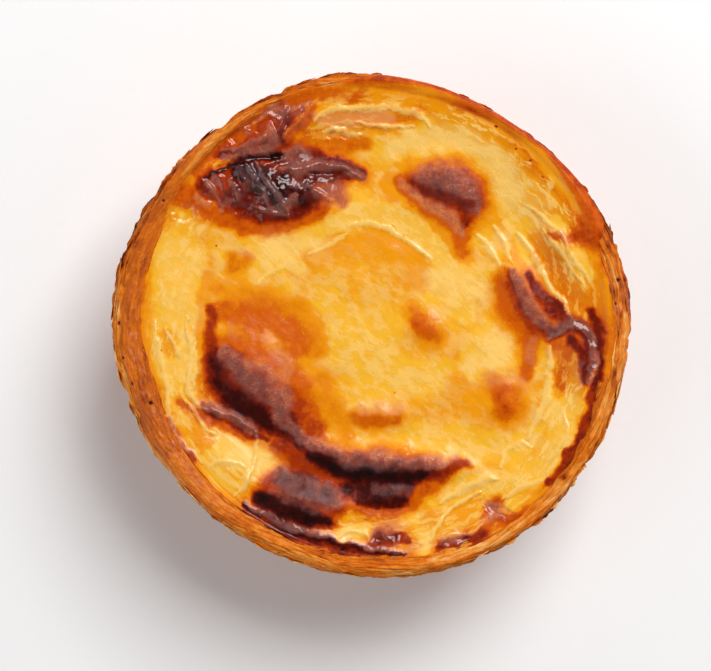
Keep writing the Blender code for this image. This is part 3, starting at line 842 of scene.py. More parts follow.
class TartCustardSettings(bpy.types.PropertyGroup):
    rings: bpy.props.IntProperty(
        name="Rings", description="Rings of points in the skin's surface", default=168, min=30, max=180
    )
    sink: distance_setting("Sink", 0.0015, "How far the middle has sunk below the custard's edge")
    blister_scale: height_setting("Blisters", "How high the blisters stand, 1 as baked")
    fold_scale: height_setting("Folds", "How high the folds stand, 1 as baked")
    crumple: distance_setting("Crumple", 0.00055, "Height of the crumpled sugar skin")
    pale: colour_setting("Pale custard", tint(245, 187, 74), "Set custard that has hardly browned")
    yellow: colour_setting("Yellow custard", tint(245, 181, 44), "Custard under a thin clear skin")
    amber: colour_setting("Amber", tint(238, 150, 8), "Custard starting to brown")
    orange: colour_setting("Orange", tint(208, 90, 0), "Custard browned to orange")
    rust: colour_setting("Rust", tint(166, 50, 0), "Custard browned to rust")
    maroon: colour_setting("Maroon", tint(112, 22, 3), "Custard starting to scorch")
    scorched: colour_setting("Scorched", tint(58, 6, 2), "Scorched custard")
    burnt: colour_setting("Burnt", tint(24, 6, 5), "Burnt black custard")
    # The dry skin's colours carry a painted sheen: each is the custard's colour under it, lightened by a
    # painted reflection of the soft light, greyer and more lavender over the darker custard.
    cream_skin: colour_setting("Cream skin", tint(250, 200, 104), "Dry skin over pale custard")
    peach_skin: colour_setting("Peach skin", tint(228, 142, 76), "Dry skin over orange custard")
    rose_skin: colour_setting("Rose skin", tint(184, 102, 76), "Dry skin over rust-brown custard")
    mauve_skin: colour_setting("Mauve skin", tint(138, 76, 64), "Dry skin over scorched custard")
    ash_skin: colour_setting("Ash skin", tint(100, 72, 76), "Dry skin over burnt custard")


class TartPastrySettings(bpy.types.PropertyGroup):
    columns: bpy.props.IntProperty(
        name="Columns", description="Points round the cup, a multiple of 6", default=840, min=120, max=900,
        step=6,
    )
    leaf_depth: distance_setting("Leaf depth", 0.00034, "Step from one leaf of the wall to the next")
    lip_depth: distance_setting("Lip depth", 0.00025, "Step from one leaf of the lip to the next")
    flakes: bpy.props.IntProperty(
        name="Flakes", description="How many thin leaves lift off the cup", default=340, min=0, max=1200
    )
    flake_seed: bpy.props.IntProperty(
        name="Flake seed", description="Changes where the flakes sit", default=4
    )
    flour: colour_setting("Pale dough", tint(242, 188, 112), "Leaf edges that have hardly browned")
    golden: colour_setting("Golden", tint(232, 142, 48), "Pastry baked golden")
    toasted: colour_setting("Toasted", tint(212, 106, 10), "Pastry baked orange brown")
    ruddy: colour_setting("Ruddy", tint(182, 86, 18), "Pastry baked red brown")
    dark: colour_setting("Dark", tint(128, 44, 6), "Pastry baked dark brown")
    charred: colour_setting("Charred", tint(44, 20, 12), "Scorched leaf edges")


class TartStageSettings(bpy.types.PropertyGroup):
    floor: colour_setting("Floor", (0.96, 0.96, 0.96), "The pale surface under the tart")
    key_power: bpy.props.FloatProperty(
        name="Key light", description="Power of the large soft light", unit="POWER", default=3.5, min=0
    )
    fill_power: bpy.props.FloatProperty(
        name="Fill light", description="Power of the weak light opposite", unit="POWER", default=1.0, min=0
    )
    sky: bpy.props.FloatProperty(
        name="Sky", description="Strength of the even light from the sides", default=0.40, min=0
    )
    lens: bpy.props.FloatProperty(
        name="Lens", description="Focal length", unit="CAMERA", default=100, min=20
    )
    view_width: distance_setting("View width", 0.10275, "Width of the picture at the height of the rim")


class TartSettings(bpy.types.PropertyGroup):
    custard: bpy.props.PointerProperty(
        type=TartCustardSettings, name="Custard", description="The custard's skin"
    )
    pastry: bpy.props.PointerProperty(
        type=TartPastrySettings, name="Pastry", description="The pastry cup"
    )
    stage: bpy.props.PointerProperty(
        type=TartStageSettings, name="Stage", description="Floor, lights and camera"
    )


# ---------------------------------------------------------------- custard


def disc_of_rings(rings):
    """Shares of the radius and angles of an even disc of points, which has six more in each ring, and its
    faces."""
    shares, angles, faces = [0.0], [0.0], []
    for ring in range(1, rings + 1):
        steps = np.arange(6 * ring)
        shares.extend([ring / rings] * len(steps))
        angles.extend(TURN * steps / len(steps))

    def index(ring, step):
        return np.where(ring == 0, 0, 1 + 3 * ring * (ring - 1) + step % max(6 * ring, 1))

    for ring in range(rings):
        for sector in range(6):
            outward = np.arange(ring + 1)
            low = index(ring, sector * ring + outward)
            first = index(ring + 1, sector * (ring + 1) + outward)
            second = index(ring + 1, sector * (ring + 1) + outward + 1)
            faces.append(np.stack([low, first, second], 1))
            if ring:
                inward = np.arange(ring)
                start = index(ring, sector * ring + inward)
                across = index(ring + 1, sector * (ring + 1) + inward + 1)
                after = index(ring, sector * ring + inward + 1)
                faces.append(np.stack([start, across, after], 1))
    return np.array(shares), np.array(angles), np.concatenate(faces)


def fold_height(x, y, height, width, path):
    """A rounded ridge along a path, fading at its ends."""
    ends = [0.35, *[1.0] * (len(path) - 2), 0.35]
    spaced = [(px, py, width * end) for (px, py), end in zip(path, ends)]
    away = from_path(x, y, spaced)
    return height * np.exp(-(away**2) * 0.8)


def lip_height(angle, radius):
    """The height of the pastry's lip at this radius, before its leaves are shaped."""
    inner, rim, top = custard_radius(angle), rim_radius(angle), rim_height(angle)
    crest = inner + CREST_SHARE * (rim - inner)
    inside = np.clip((crest - radius) / (crest - inner), 0, 1)
    outside = np.clip((radius - crest) / (rim - crest), 0, 1)
    drop = CUSTARD_BELOW_RIM * (1 - np.sqrt(1 - inside**2)) + LIP_DROP * (1 - np.sqrt(1 - outside**2))
    return top - drop - 3.0 * np.maximum(inner - radius, 0)


def glazed_share(angle):
    """The share of the lip's width that the custard's glaze covers."""
    return painted(np.full_like(angle, 0.12), np.cos(angle), np.sin(angle), LAPS)


def custard_level(angle, share, sink, banked):
    """The custard's height before it blistered: sunk in the middle, and climbing the pastry at the edge."""
    edge = rim_height(angle) - CUSTARD_BELOW_RIM
    sides = np.linspace(0, TURN, CAD_SIDES, endpoint=False)
    middle = np.mean(rim_height(sides)) - CUSTARD_BELOW_RIM - sink
    start = 0.78 - 0.18 * banked
    climb = (0.45 + 1.25 * banked) * np.clip((share - start) / (1 - start), 0, 1) ** (2 - 0.4 * banked)
    return middle + (edge - middle) * smooth((share - 0.72) / 0.28) + climb


def higher(first, second, blend):
    """The higher of two heights, rounded where they meet."""
    meet = np.maximum(blend - np.abs(first - second), 0) / blend
    return np.maximum(first, second) + meet**2 * blend / 4


def blister_height(x, y):
    """The blisters' rise, each an even mound."""
    total = np.zeros_like(x)
    for centre_x, centre_y, half_length, half_width, direction, rise in BLISTERS:
        turn = math.radians(direction)
        along = ((x - centre_x) * math.cos(turn) + (y - centre_y) * math.sin(turn)) / half_length
        across = ((y - centre_y) * math.cos(turn) - (x - centre_x) * math.sin(turn)) / half_width
        total += rise * np.exp(-(along**2) - across**2)
    return total


def custard_surface(settings):
    """Points, faces and surface numbers of the baked skin."""
    shares, angles, faces = disc_of_rings(settings.rings)
    inner, rim = custard_radius(angles), rim_radius(angles)
    cover_share = glazed_share(angles)
    lap = cover_share * (rim - inner) + 0.3 * gradient_noise(angles * 14 / TURN, shares * 0, 5, 14)
    lap = lap + 0.18 * gradient_noise(angles * 64 / TURN, shares * 0, 6, 64)
    lap = np.clip(lap, 0.15, rim - inner - 0.15)
    radius = (inner + lap) * shares
    x, y = radius * np.cos(angles), radius * np.sin(angles)
    inward = inner - radius
    round_edge = smooth((7.5 - inward) / 5)

    # everything is drawn on a slightly disturbed plane, so no edge is a clean curve
    wander_x = 0.50 * mottle(x, y, 2.8, 11, 2) + 0.16 * mottle(x, y, 0.7, 13, 2)
    wander_y = 0.50 * mottle(x, y, 2.8, 21, 2) + 0.16 * mottle(x, y, 0.7, 23, 2)
    u, v = x + wander_x, y + wander_y

    # melted sugar
    sugar = np.zeros_like(x)
    for path in SUGAR:
        sugar = np.maximum(sugar, smooth((1.25 - from_path(u, v, path)) / 0.5))

    # the ground is toasted beside the pastry, and browned at the glaze's outer edge and near scorch marks
    along = gradient_noise(angles * 20 / TURN, radius / 1.5, 33, 20)
    along = along + 0.5 * gradient_noise(angles * 52 / TURN, radius / 0.6, 34, 52)
    ground = GROUND_TONE + 0.09 * mottle(x, y, 4.5, 35, 2)
    ground = ground + 0.04 * mottle(x, y, 0.9, 36, 2, 2.0, FILM_DIRECTION)
    glazed = smooth((cover_share - 0.3) / 0.4)
    toasting = 1.7 + 1.8 * glazed + 0.8 * mottle(x, y, 2.0, 37, 2)
    ground = ground + (TOASTED_TONE - ground) * smooth((toasting - inward) / 1.7)
    streaked = (0.06 + 0.10 * glazed) * along * smooth(1 - inward / 3)
    ground = ground + (0.06 + 0.08 * glazed) * smooth(-inward / 3) + streaked
    browned_edge = glazed * smooth((0.95 + 0.3 * along - inward - lap) / 0.7)
    ground = ground + (BROWNED_TONE - ground) * 0.85 * browned_edge
    glow = glow_round(u, v, BAKING)
    ground = ground + (HALO_TONE - ground) * 0.85 * glow

    # the marks, the dry skin over them with its painted sheen, and their blotches
    tone = painted(ground, u, v, BAKING)
    tone = np.maximum(tone, 0.48 * glow)
    light = (1 - smooth((tone - 0.30) / 0.16)) * smooth((inward - 0.2) / 1.4)
    skin = painted(np.zeros_like(x), u, v, SKIN_AND_SHEEN)
    blotches = 0.05 * mottle(x, y, 1.7, 43, 2) + 0.03 * mottle(x, y, 0.6, 45)
    tone = tone + smooth((tone - 0.42) / 0.2) * blotches
    skin = np.clip(skin * (1 + 0.5 * mottle(x, y, 1.5, 44, 3) * smooth((tone - 0.5) / 0.15)), 0, 1)
    torn = 0.6 + 1.2 * mottle(x, y, 1.0, 59, 3)

    # a pale film lies over the yellow custard, torn slantwise in the middle and in wisps at the edge
    film = 0.72 * light * (1 - 0.6 * round_edge)
    wisps = painted(0.55 * smooth((8.0 - inward) / 4), u, v, WISPS)
    wisps = wisps * smooth((inward + 0.2) / 1.4) * smooth((0.62 - tone) / 0.12)

    # blisters and folds stand on the sunken custard, and the folds carry skin and shine
    banked = smooth((np.cos(angles - BANKED_SIDE) - 0.3) / 0.55)
    height = custard_level(angles, np.clip(radius / inner, 0, 1), settings.sink / MM, banked)
    away_from_edge = smooth(inward / 4.0)
    relief = settings.blister_scale * blister_height(x + 0.5 * wander_x, y + 0.5 * wander_y)
    wet = 0.8 * sugar
    for rise, width, cover, path in FOLDS:
        ridge = fold_height(x + 0.6 * wander_x, y + 0.6 * wander_y, 1.0, width, path)
        relief += settings.fold_scale * rise * ridge
        if rise > 0:
            wet = np.maximum(wet, 0.5 * smooth(ridge * 1.6 - 0.2))
            # along the fold's top: the skin's colour with its painted sheen, and paler custard, partly pale
            # film and partly a painted highlight on the crest
            ridge_skin_and_sheen = smooth(ridge * 2.4 - np.maximum(torn, 0.3))
            if cover > 0:
                skin = skin + (cover - skin) * 0.95 * ridge_skin_and_sheen
            tone = tone - 0.24 * ridge_skin_and_sheen * smooth((0.70 - tone) / 0.2)

    for place_x, place_y, size in SPECKS:
        tone = tone + (1.0 - tone) * smooth((1.6 - np.hypot(x - place_x, y - place_y) / size) / 0.8)

    # fine unevenness, most where it is scorched, and crumpled sugar
    height = height + relief * (0.35 + 0.65 * away_from_edge)
    height += 0.16 * mottle(x, y, 5.0, 51, 2) * away_from_edge
    height += 0.03 * mottle(x, y, 1.1, 53, 2, 2.0, -40)
    height += 0.05 * smooth((tone - 0.55) / 0.2) * mottle(x, y, 0.7, 57, 2)
    crumpled = creased(u, v, 3.2, 61) + 0.12 * mottle(x, y, 0.7, 67, 2)
    height += settings.crumple / MM * sugar * (crumpled - 0.5)

    # at the pastry the custard climbs the lip as a thin film, and its outer edge runs out under the leaves
    ragged = 0.25 * mottle(x, y, 1.6, 63, 3)
    thin = smooth((0.9 + ragged + inward + lap - 0.55) / 1.2)
    skim = lip_height(angles, radius) + 0.15 - 0.45 * (1 - thin) * (1 - 0.8 * glazed) + 0.16 * glazed
    skim = skim + (0.04 + 0.14 * glazed) * along * smooth(1 - inward / 3)
    height = higher(height, skim, 0.6 + 0.6 * banked)

    points = np.stack([x, y, height], 1)
    surface = {"tone": tone, "skin": skin, "wet": wet, "film": film, "wisps": wisps}
    return points, faces, surface


def close_below(points, faces, rings):
    """The skin's points and faces with the custard's side and floor, which reach just into the pastry."""
    count = 6 * rings
    edge = np.arange(len(points) - count, len(points))
    angle = np.arctan2(points[edge, 1], points[edge, 0])
    reach = np.hypot(points[edge, 0], points[edge, 1])
    floor = FLOOR + 0.5
    drops = ((reach - 0.5, points[edge, 2] - 1.2), (BASE_RADIUS - 4.6, np.full(count, floor)))
    below, sides, upper = [], [], edge
    for place, (radius, height) in enumerate(drops):
        below.append(np.stack([radius * np.cos(angle), radius * np.sin(angle), height], 1))
        lower = len(points) + place * count + np.arange(count)
        sides.append(np.stack([upper, lower, np.roll(lower, -1)], 1))
        sides.append(np.stack([upper, np.roll(lower, -1), np.roll(upper, -1)], 1))
        upper = lower
    middle = len(points) + len(drops) * count
    below.append([[0.0, 0.0, floor]])
    sides.append(np.stack([upper, np.full(count, middle), np.roll(upper, -1)], 1))
    return np.concatenate([points, *below]), np.concatenate([faces, *sides])


def custard_finish(settings):
    material, shader, shade = shading("custard_skin")
    where = shade.node("TexCoord", output="Object")
    tone, skin, wet = shade.number("tone"), shade.number("skin"), shade.number("wet")
    fine = shade.node("TexNoise", Vector=where, Scale=3600.0, Detail=3.0, Roughness=0.6)
    grain = shade.node("TexNoise", Vector=where, Scale=1300.0, Detail=4.0, Roughness=0.6)
    clouds = shade.node("TexNoise", Vector=where, Scale=420.0, Detail=3.0, Roughness=0.5)

    bent = bent_places(shade, where, 650.0, 0.0013)
    slanted = shade.node(
        "Mapping", {"vector_type": "TEXTURE"},
        Vector=bent, Rotation=(0.0, 0.0, math.radians(FILM_DIRECTION)), Scale=(0.0030, 0.0015, 1.0)
    )
    sheet = shade.node("TexNoise", Vector=slanted, Scale=1.0, Detail=5.0, Roughness=0.6)
    sheet = (sheet + 0.6 * clouds + (fine - 0.5) * 0.12).span(0.72, 0.90) * shade.number("film")
    strands = round_streaks(shade, bent, 3.2, 0.62) + 0.30 * clouds
    strands = strands + (fine - 0.5) * 0.22 + (grain - 0.5) * 0.18
    strands = strands.span(0.65, 0.77) * shade.number("wisps")
    light_film = (sheet + 0.9 * strands).held()

    baked = tone - 0.12 * sheet - 0.30 * strands + (fine - 0.5) * 0.10 + (grain - 0.5) * 0.06
    baked = baked + (clouds - 0.5) * 0.08
    torn = skin * (1 - skin) * 4.0
    cover = (skin + torn * ((grain - 0.5) * 1.0 + (fine - 0.5) * 1.2) + light_film).held()
    stops = (0.0, 0.22, 0.40, 0.57, 0.69, 0.80, 0.90, 1.0)
    bare_colours = (
        settings.pale, settings.yellow, settings.amber, settings.orange,
        settings.rust, settings.maroon, settings.scorched, settings.burnt,
    )
    # Where the skin covers, the colour comes from the skin's ramp, whose colours hold a painted sheen of the
    # soft light.
    skin_sheen_stops = (0.05, 0.5, 0.68, 0.84, 1.0)
    skin_sheen_colours = (
        settings.cream_skin, settings.peach_skin, settings.rose_skin, settings.mauve_skin, settings.ash_skin,
    )
    # Paler dots on the browning custard: tiny bubbles, lightened as painted glints.
    bubble_glints = fine.span(0.60, 0.68) * tone.span(0.42, 0.50) * (1 - tone.span(0.66, 0.76))
    bare = shade.node("ValToRGB", {"stops": tuple(zip(stops, bare_colours))}, in0=baked - 0.10 * bubble_glints)
    mauve = tone.span(0.45, 0.6) * (1 - 0.8 * tone.span(0.86, 0.96))
    grained = baked + ((fine - 0.5) * 0.45 + (grain - 0.5) * 0.30) * mauve
    dry_skin_sheen = shade.node("ValToRGB", {"stops": tuple(zip(skin_sheen_stops, skin_sheen_colours))}, in0=grained)
    connect(cover.mixed(bare, dry_skin_sheen), shader.inputs["Base Color"])

    dull = tone.span(0.5, 0.8)
    wet = (wet + 0.30 * clouds.span(0.50, 0.62) * (1 - tone.span(0.40, 0.55))).held()
    connect((0.40 + 0.06 * dull - 0.30 * wet + (fine - 0.5) * 0.15).held(), shader.inputs["Roughness"])
    connect((0.06 + 0.94 * wet).held(), shader.inputs["Coat Weight"])
    shader.inputs["Coat Roughness"].default_value = 0.08
    shader.inputs["Subsurface Weight"].default_value = 0.06
    shader.inputs["Subsurface Radius"].default_value = (1.0, 0.42, 0.12)
    shader.inputs["Subsurface Scale"].default_value = 0.0012
    shader.inputs["Specular IOR Level"].default_value = 0.08
    bumps = (fine + grain * 0.5) * (0.35 + 0.65 * dull) + 0.5 * light_film
    bump = shade.node("Bump", Strength=0.5, Distance=0.00016, Height=bumps)
    connect(bump, shader.inputs["Normal"])
    return material


class TART_OT_bake_custard(bpy.types.Operator):
    """Shape and paint the custard's blistered, scorched skin"""

    bl_idname = "tart.bake_custard"
    bl_label = "Bake Custard"

    def execute(self, context):
        settings = context.scene.tart.custard
        skin_points, skin_faces, surface = custard_surface(settings)
        points, faces = close_below(skin_points, skin_faces, settings.rings)
        piece = piece_of(
            "custard_skin", points, faces.tolist(), custard_finish(settings), [CUSTARD_NODE]
        )
        hidden = len(points) - len(skin_points)
        for name, values in surface.items():
            numbers(piece.data, name, np.append(values, np.full(hidden, values[-1])))
        flat = points[faces][..., :2] / MAP_SPAN
        on_top = np.arange(len(faces))[:, None, None] < len(skin_faces)
        top, under = (middle + size * flat for middle, size in (TOP_PATCH, UNDER_PATCH))
        lay_out(piece.data, np.where(on_top, top, under))
        return {"FINISHED"}


# ---------------------------------------------------------------- pastry


def wall_waves(angle):
    """How the wall's belly varies round the cup."""
    waves = ((0.25, 3, 1.75), (0.16, 7, 0.26), (0.1, 11, 0.07))
    return sum(size * np.cos(count * (angle - start)) for size, count, start in waves)


def cup_profile(angle, base_rows=10, wall_rows=86, lip_rows=84):
    """Rows of (radius, height) from under the middle of the base, up the wall, over the lip and down inside,
    and the zone of each row."""
    rim, top, inner = rim_radius(angle), rim_height(angle), custard_radius(angle)
    belly = WALL_BELLY + wall_waves(angle)
    corner_end = BASE_CORNER / (np.mean(top) - LIP_DROP)
    rows, zones = [], []

    def add(radius, height, zone):
        rows.append(np.stack([np.broadcast_to(radius, angle.shape), np.broadcast_to(height, angle.shape)], 1))
        zones.append(zone)

    foot = BASE_RADIUS - FOOT_TUCK
    for share in np.linspace(0.002, 1, base_rows + 1)[:-1]:
        add(foot * share, 0.0, BASE)
    for rise in (*np.linspace(0, corner_end, 9)[:-1], *np.linspace(corner_end, 1, wall_rows - 8)):
        tuck = FOOT_TUCK * max(0.0, 1 - rise / corner_end) ** 2
        radius = BASE_RADIUS + (rim - BASE_RADIUS) * rise + belly * math.sin(math.pi * rise) - tuck
        add(radius, rise * (top - LIP_DROP), WALL)
    crest = inner + CREST_SHARE * (rim - inner)
    for turn in np.radians(np.linspace(3, 174, lip_rows)):
        if turn < math.pi / 2:
            add(crest + (rim - crest) * math.cos(turn), top - LIP_DROP * (1 - math.sin(turn)), LIP)
        else:
            height = top - CUSTARD_BELOW_RIM * (1 - math.sin(turn))
            add(crest + (crest - inner) * math.cos(turn), height, LIP)
    for drop in (0.3, 0.8, 1.6):
        add(inner - 0.05 - 0.2 * drop, top - CUSTARD_BELOW_RIM - drop, INSIDE)
    return np.stack(rows), np.array(zones)


def along_leaves(turn, across, length, width, seed):
    """Noise with marks this long round the cup and this wide across it, which meets itself after a turn."""
    cells = max(round(TURN * MEAN_RADIUS / length), 1)
    return gradient_noise(turn * cells, across / width, seed, cells)


def ridged(noise):
    """Crest lines from noise, from about -0.5 to 0.5."""
    return np.clip(1 - 1.9 * np.abs(noise), 0, 1) ** 2 - 0.45


def leaf_relief(turn, run, zone, rows, settings):
    """How far each point of the cup stands out of its plain form, and the numbers for its colour."""
    lip = (zone >= LIP).astype(float)
    pitch = np.where(zone == BASE, 1.5, np.where(zone == WALL, 0.95, 0.74))
    phase = np.cumsum(np.diff(run, axis=0, prepend=0) / pitch, axis=0)
    phase = phase + 1.5 * along_leaves(turn, run, 26, 9, 71) + 0.7 * along_leaves(turn, run, 9, 3, 73)
    phase = phase + 0.25 * along_leaves(turn, run, 2.4, 1.2, 75)
    phase = phase + 0.10 * along_leaves(turn, run, 0.9, 0.6, 76)
    leaf = np.floor(phase)
    part = phase - leaf
    own = along_leaves(turn, leaf * 7.3, 8, 1, 77) + 0.6 * along_leaves(turn, leaf * 5.1, 2.0, 1, 79)
    comes = smooth(0.6 + 1.4 * along_leaves(turn, leaf * 3.7, 6, 1, 72))
    gap = (1 - smooth(np.minimum(part, 1 - part) / 0.20)) * comes
    shingle = np.clip(0.7 + 0.6 * own, 0.1, 1.4) * (part**1.4 - smooth((part - 0.84) / 0.16))
    bent = run + 0.5 * along_leaves(turn, run, 8, 3, 78) + 0.28 * along_leaves(turn, run, 3.2, 1.3, 80)
    bent = bent + 0.12 * along_leaves(turn, run, 1.1, 0.6, 74)
    calm = smooth((np.cos(TURN * turn - CALM_SIDE) - 0.4) / 0.4) * smooth((36.4 - rows[..., 0]) / 0.8) * lip
    covered = smooth((glazed_share(TURN * turn[0]) - 0.5) / 0.3) * lip
    lines = 0.8 * ridged(along_leaves(turn, bent, 11, 0.55, 82))
    lines = lines + 0.6 * ridged(along_leaves(turn, bent, 4, 0.34, 84))
    lines = lines + 0.4 * along_leaves(turn, bent, 2.0, 0.24, 86)
    stacked = settings.lip_depth / MM * (1.4 * own - 0.7 * gap + 0.6 * lines - 0.3)
    stacked = stacked * (1 - 0.8 * calm) * (1 - 0.75 * covered)
    hung = settings.leaf_depth / MM * ((shingle - 0.2) * 1.5 + 0.25 * lines)
    lumps = 0.26 * along_leaves(turn, run, 13, 5, 81) + 0.16 * along_leaves(turn, run, 5, 2.4, 83)
    lumps = lumps * (1 - 0.6 * covered)
    fine = 0.09 * along_leaves(turn, run, 1.3, 0.5, 85) + 0.05 * along_leaves(turn, run, 0.6, 0.3, 87)
    chipped = smooth((along_leaves(turn, run * 0, 4.5, 1, 89) - 0.30) / 0.35)
    chipped = chipped * np.exp(-(((rows[..., 1] - CHIPPED_HEIGHT) / 2) ** 2))
    depth = np.where(lip > 0, stacked, hung) + lumps + fine - 0.7 * chipped
    depth = depth * np.where(zone == BASE, 0.2, 1.0) * np.where(zone == INSIDE, 0.3, 1.0)

    x = rows[..., 0] * np.cos(TURN * turn)
    y = rows[..., 0] * np.sin(TURN * turn)
    wander = 0.45 * along_leaves(turn, run, 7, 2, 91) + 0.2 * along_leaves(turn, run, 2, 0.8, 92)
    brown = 0.45 + 0.10 * along_leaves(turn, run, 18, 7, 93) + np.where(zone == WALL, 0.06, 0.0)
    strokes = painted(brown, x + wander, y + wander, RIM_BAKING)
    brown = brown + (strokes - brown) * smooth((rows[..., 1] - 15) / 6)
    # The leaves' own browning streaks, with painted light and shade that follow their relief: lighter along
    # the raised crest lines and darker in the gaps between the lip's leaves.
    streaks_and_shade = 0.26 * own - 0.09 * lines + 0.08 * along_leaves(turn, bent, 6, 0.5, 95)
    streaks_and_shade = (streaks_and_shade + 0.16 * gap * lip) * (1 - 0.8 * calm) * (1 - 0.6 * covered)
    streaks_and_shade = streaks_and_shade + 0.06 * calm * along_leaves(turn, run, 14, 0.8, 94)
    bake = brown + streaks_and_shade + 0.10 * (1 - lip) * (0.4 - part)
    blotch = along_leaves(turn, run, 7, 3.2, 99) + 0.5 * along_leaves(turn, run, 2.6, 1.4, 101)
    bake = bake + np.where(zone == WALL, 0.24 * smooth((blotch - 0.15) / 0.5), 0.0)
    for place_x, place_y, size in PITS:
        pit = smooth((1.7 - np.hypot(x - place_x, y - place_y) / size) / 0.9) * lip
        bake = bake + (1.0 - bake) * pit
        depth = depth - 0.25 * pit
    glaze = np.maximum(smooth((np.cos(TURN * turn - SHINY_SIDE) - 0.93) / 0.05), 0.7 * calm) * lip
    return depth, {"bake": bake, "glaze": glaze}


def shaped_cup(angle, settings):
    """The cup's points, row by row, with its leaves raised, and their zones and surface numbers."""
    rows, zones = cup_profile(angle)
    steps = np.hypot(*np.moveaxis(np.diff(rows, axis=0), 2, 0))
    run = np.concatenate([np.zeros((1, len(angle))), np.cumsum(steps, 0)])
    slope = np.gradient(rows, axis=0)
    facing = np.stack([slope[..., 1], -slope[..., 0]], 2)
    facing /= np.maximum(np.linalg.norm(facing, axis=2, keepdims=True), 1e-9)
    turn = np.broadcast_to(angle / TURN, run.shape)
    zone = np.broadcast_to(zones[:, None], run.shape)
    depth, surface = leaf_relief(turn, run, zone, rows, settings)
    rows = rows + facing * depth[..., None]
    rows[..., 1] = np.maximum(rows[..., 1], 0.0)
    points = np.stack([rows[..., 0] * np.cos(angle), rows[..., 0] * np.sin(angle), rows[..., 1]], 2)
    return points, zones, surface


def band_of_cup(name, points, surface, rows, blocks, material, closed):
    """One band of the cup's rows as a piece. Its map is cut into blocks stacked over each other."""
    taken = points[rows]
    count, columns = taken.shape[:2]
    row, column = np.divmod(np.arange((count - 1) * columns), columns)
    after = (column + 1) % columns
    corners = ((row, column), (row, after), (row + 1, after), (row + 1, column))
    faces = np.stack([r * columns + c for r, c in corners], 1)
    per_block = columns // blocks
    block, place = np.divmod(column, per_block)
    across, up = [], []
    for step_across, step_up in ((0, 0), (1, 0), (1, 1), (0, 1)):
        across.append(0.01 + 0.98 * (place + step_across) / per_block)
        up.append((block + 0.03 + 0.94 * (row + step_up) / (count - 1)) / blocks)
    places = np.stack([np.stack(across, 1), np.stack(up, 1)], 2)
    faces = faces.tolist()
    places = places.reshape(-1, 2)
    if closed:
        faces.append(list(range(columns))[::-1])
        turn = np.arange(columns)[::-1] / columns * TURN
        places = np.concatenate([places, 0.004 + 0.003 * np.stack([np.cos(turn), np.sin(turn)], 1)])
    piece = piece_of(name, taken.reshape(-1, 3), faces, material, [PASTRY_NODE])
    for number, values in surface.items():
        numbers(piece.data, number, values[rows].ravel())
    lay_out(piece.data, places)
    return piece


class TART_OT_bake_pastry(bpy.types.Operator):
    """Shape and brown the flaky pastry cup: its wall with the base, and its lip"""

    bl_idname = "tart.bake_pastry"
    bl_label = "Bake Pastry"

    def execute(self, context):
        settings = context.scene.tart.pastry
        angle = TURN * np.arange(settings.columns) / settings.columns
        points, zones, surface = shaped_cup(angle, settings)
        lip_start = int(np.argmax(zones == LIP))
        material = pastry_finish(settings)
        band_of_cup("pastry_wall", points, surface, slice(0, lip_start + 1), 3, material, True)
        band_of_cup("pastry_lip", points, surface, slice(lip_start, len(zones)), 6, material, False)
        return {"FINISHED"}


def pastry_finish(settings):
    material, shader, shade = shading(PASTRY_FINISH)
    where = shade.node("TexCoord", output="Object")
    bake, glaze = shade.number("bake"), shade.number("glaze")
    fine = shade.node("TexNoise", Vector=where, Scale=2600.0, Detail=4.0, Roughness=0.65)
    patch = shade.node("TexNoise", Vector=where, Scale=700.0, Detail=3.0, Roughness=0.55)
    rise = shade.node("SeparateXYZ", output="Z", in0=where)
    bent = bent_places(shade, where, 230.0, 0.0019)
    long_streaks = round_streaks(shade, bent, 5.0, 0.42, rise)
    short_streaks = round_streaks(shade, bent, 1.4, 0.16, rise)
    baked = bake + (fine - 0.5) * 0.30 + (patch - 0.5) * 0.28
    baked = baked + (long_streaks - 0.5) * 0.55 + (short_streaks - 0.5) * 0.24
    stops = (0.05, 0.30, 0.52, 0.66, 0.82, 1.0)
    colours = (
        settings.flour, settings.golden, settings.toasted, settings.ruddy, settings.dark, settings.charred,
    )
    crust = shade.node("ValToRGB", {"stops": tuple(zip(stops, colours))}, in0=baked)
    connect(crust, shader.inputs["Base Color"])
    connect((0.56 - 0.16 * glaze + (fine - 0.5) * 0.3).held(), shader.inputs["Roughness"])
    connect((glaze * 0.35).held(), shader.inputs["Coat Weight"])
    shader.inputs["Coat Roughness"].default_value = 0.25
    shader.inputs["Specular IOR Level"].default_value = 0.1
    shader.inputs["Subsurface Weight"].default_value = 0.03
    shader.inputs["Subsurface Radius"].default_value = (1.0, 0.45, 0.2)
    shader.inputs["Subsurface Scale"].default_value = 0.0008
    grooves = fine * 0.6 + patch * 0.5 - long_streaks * 1.2 - short_streaks * 0.9
    bump = shade.node("Bump", Strength=0.7, Distance=0.00018, Height=grooves)
    connect(bump, shader.inputs["Normal"])
    return material


def flake_points(root, along, up, outward, size, lift, wobble):
    """A thin curled leaf of pastry as an upper and a lower sheet of points."""
    length, width, thickness = size
    sheets = []
    for side in (0.5, -0.5):
        for share in np.linspace(0, 1, FLAKE_ROWS):
            for place, nudge in zip(np.linspace(-1, 1, FLAKE_ACROSS), wobble):
                taper = (1 - abs(place) ** 2.4) * (0.75 + 0.25 * nudge)
                rise = lift * share**1.6 * taper + side * thickness * (1 - 0.6 * share)
                reach = width * (share * taper - 0.12)
                sheets.append(root + along * place * length / 2 + up * reach + outward * rise)
    return sheets


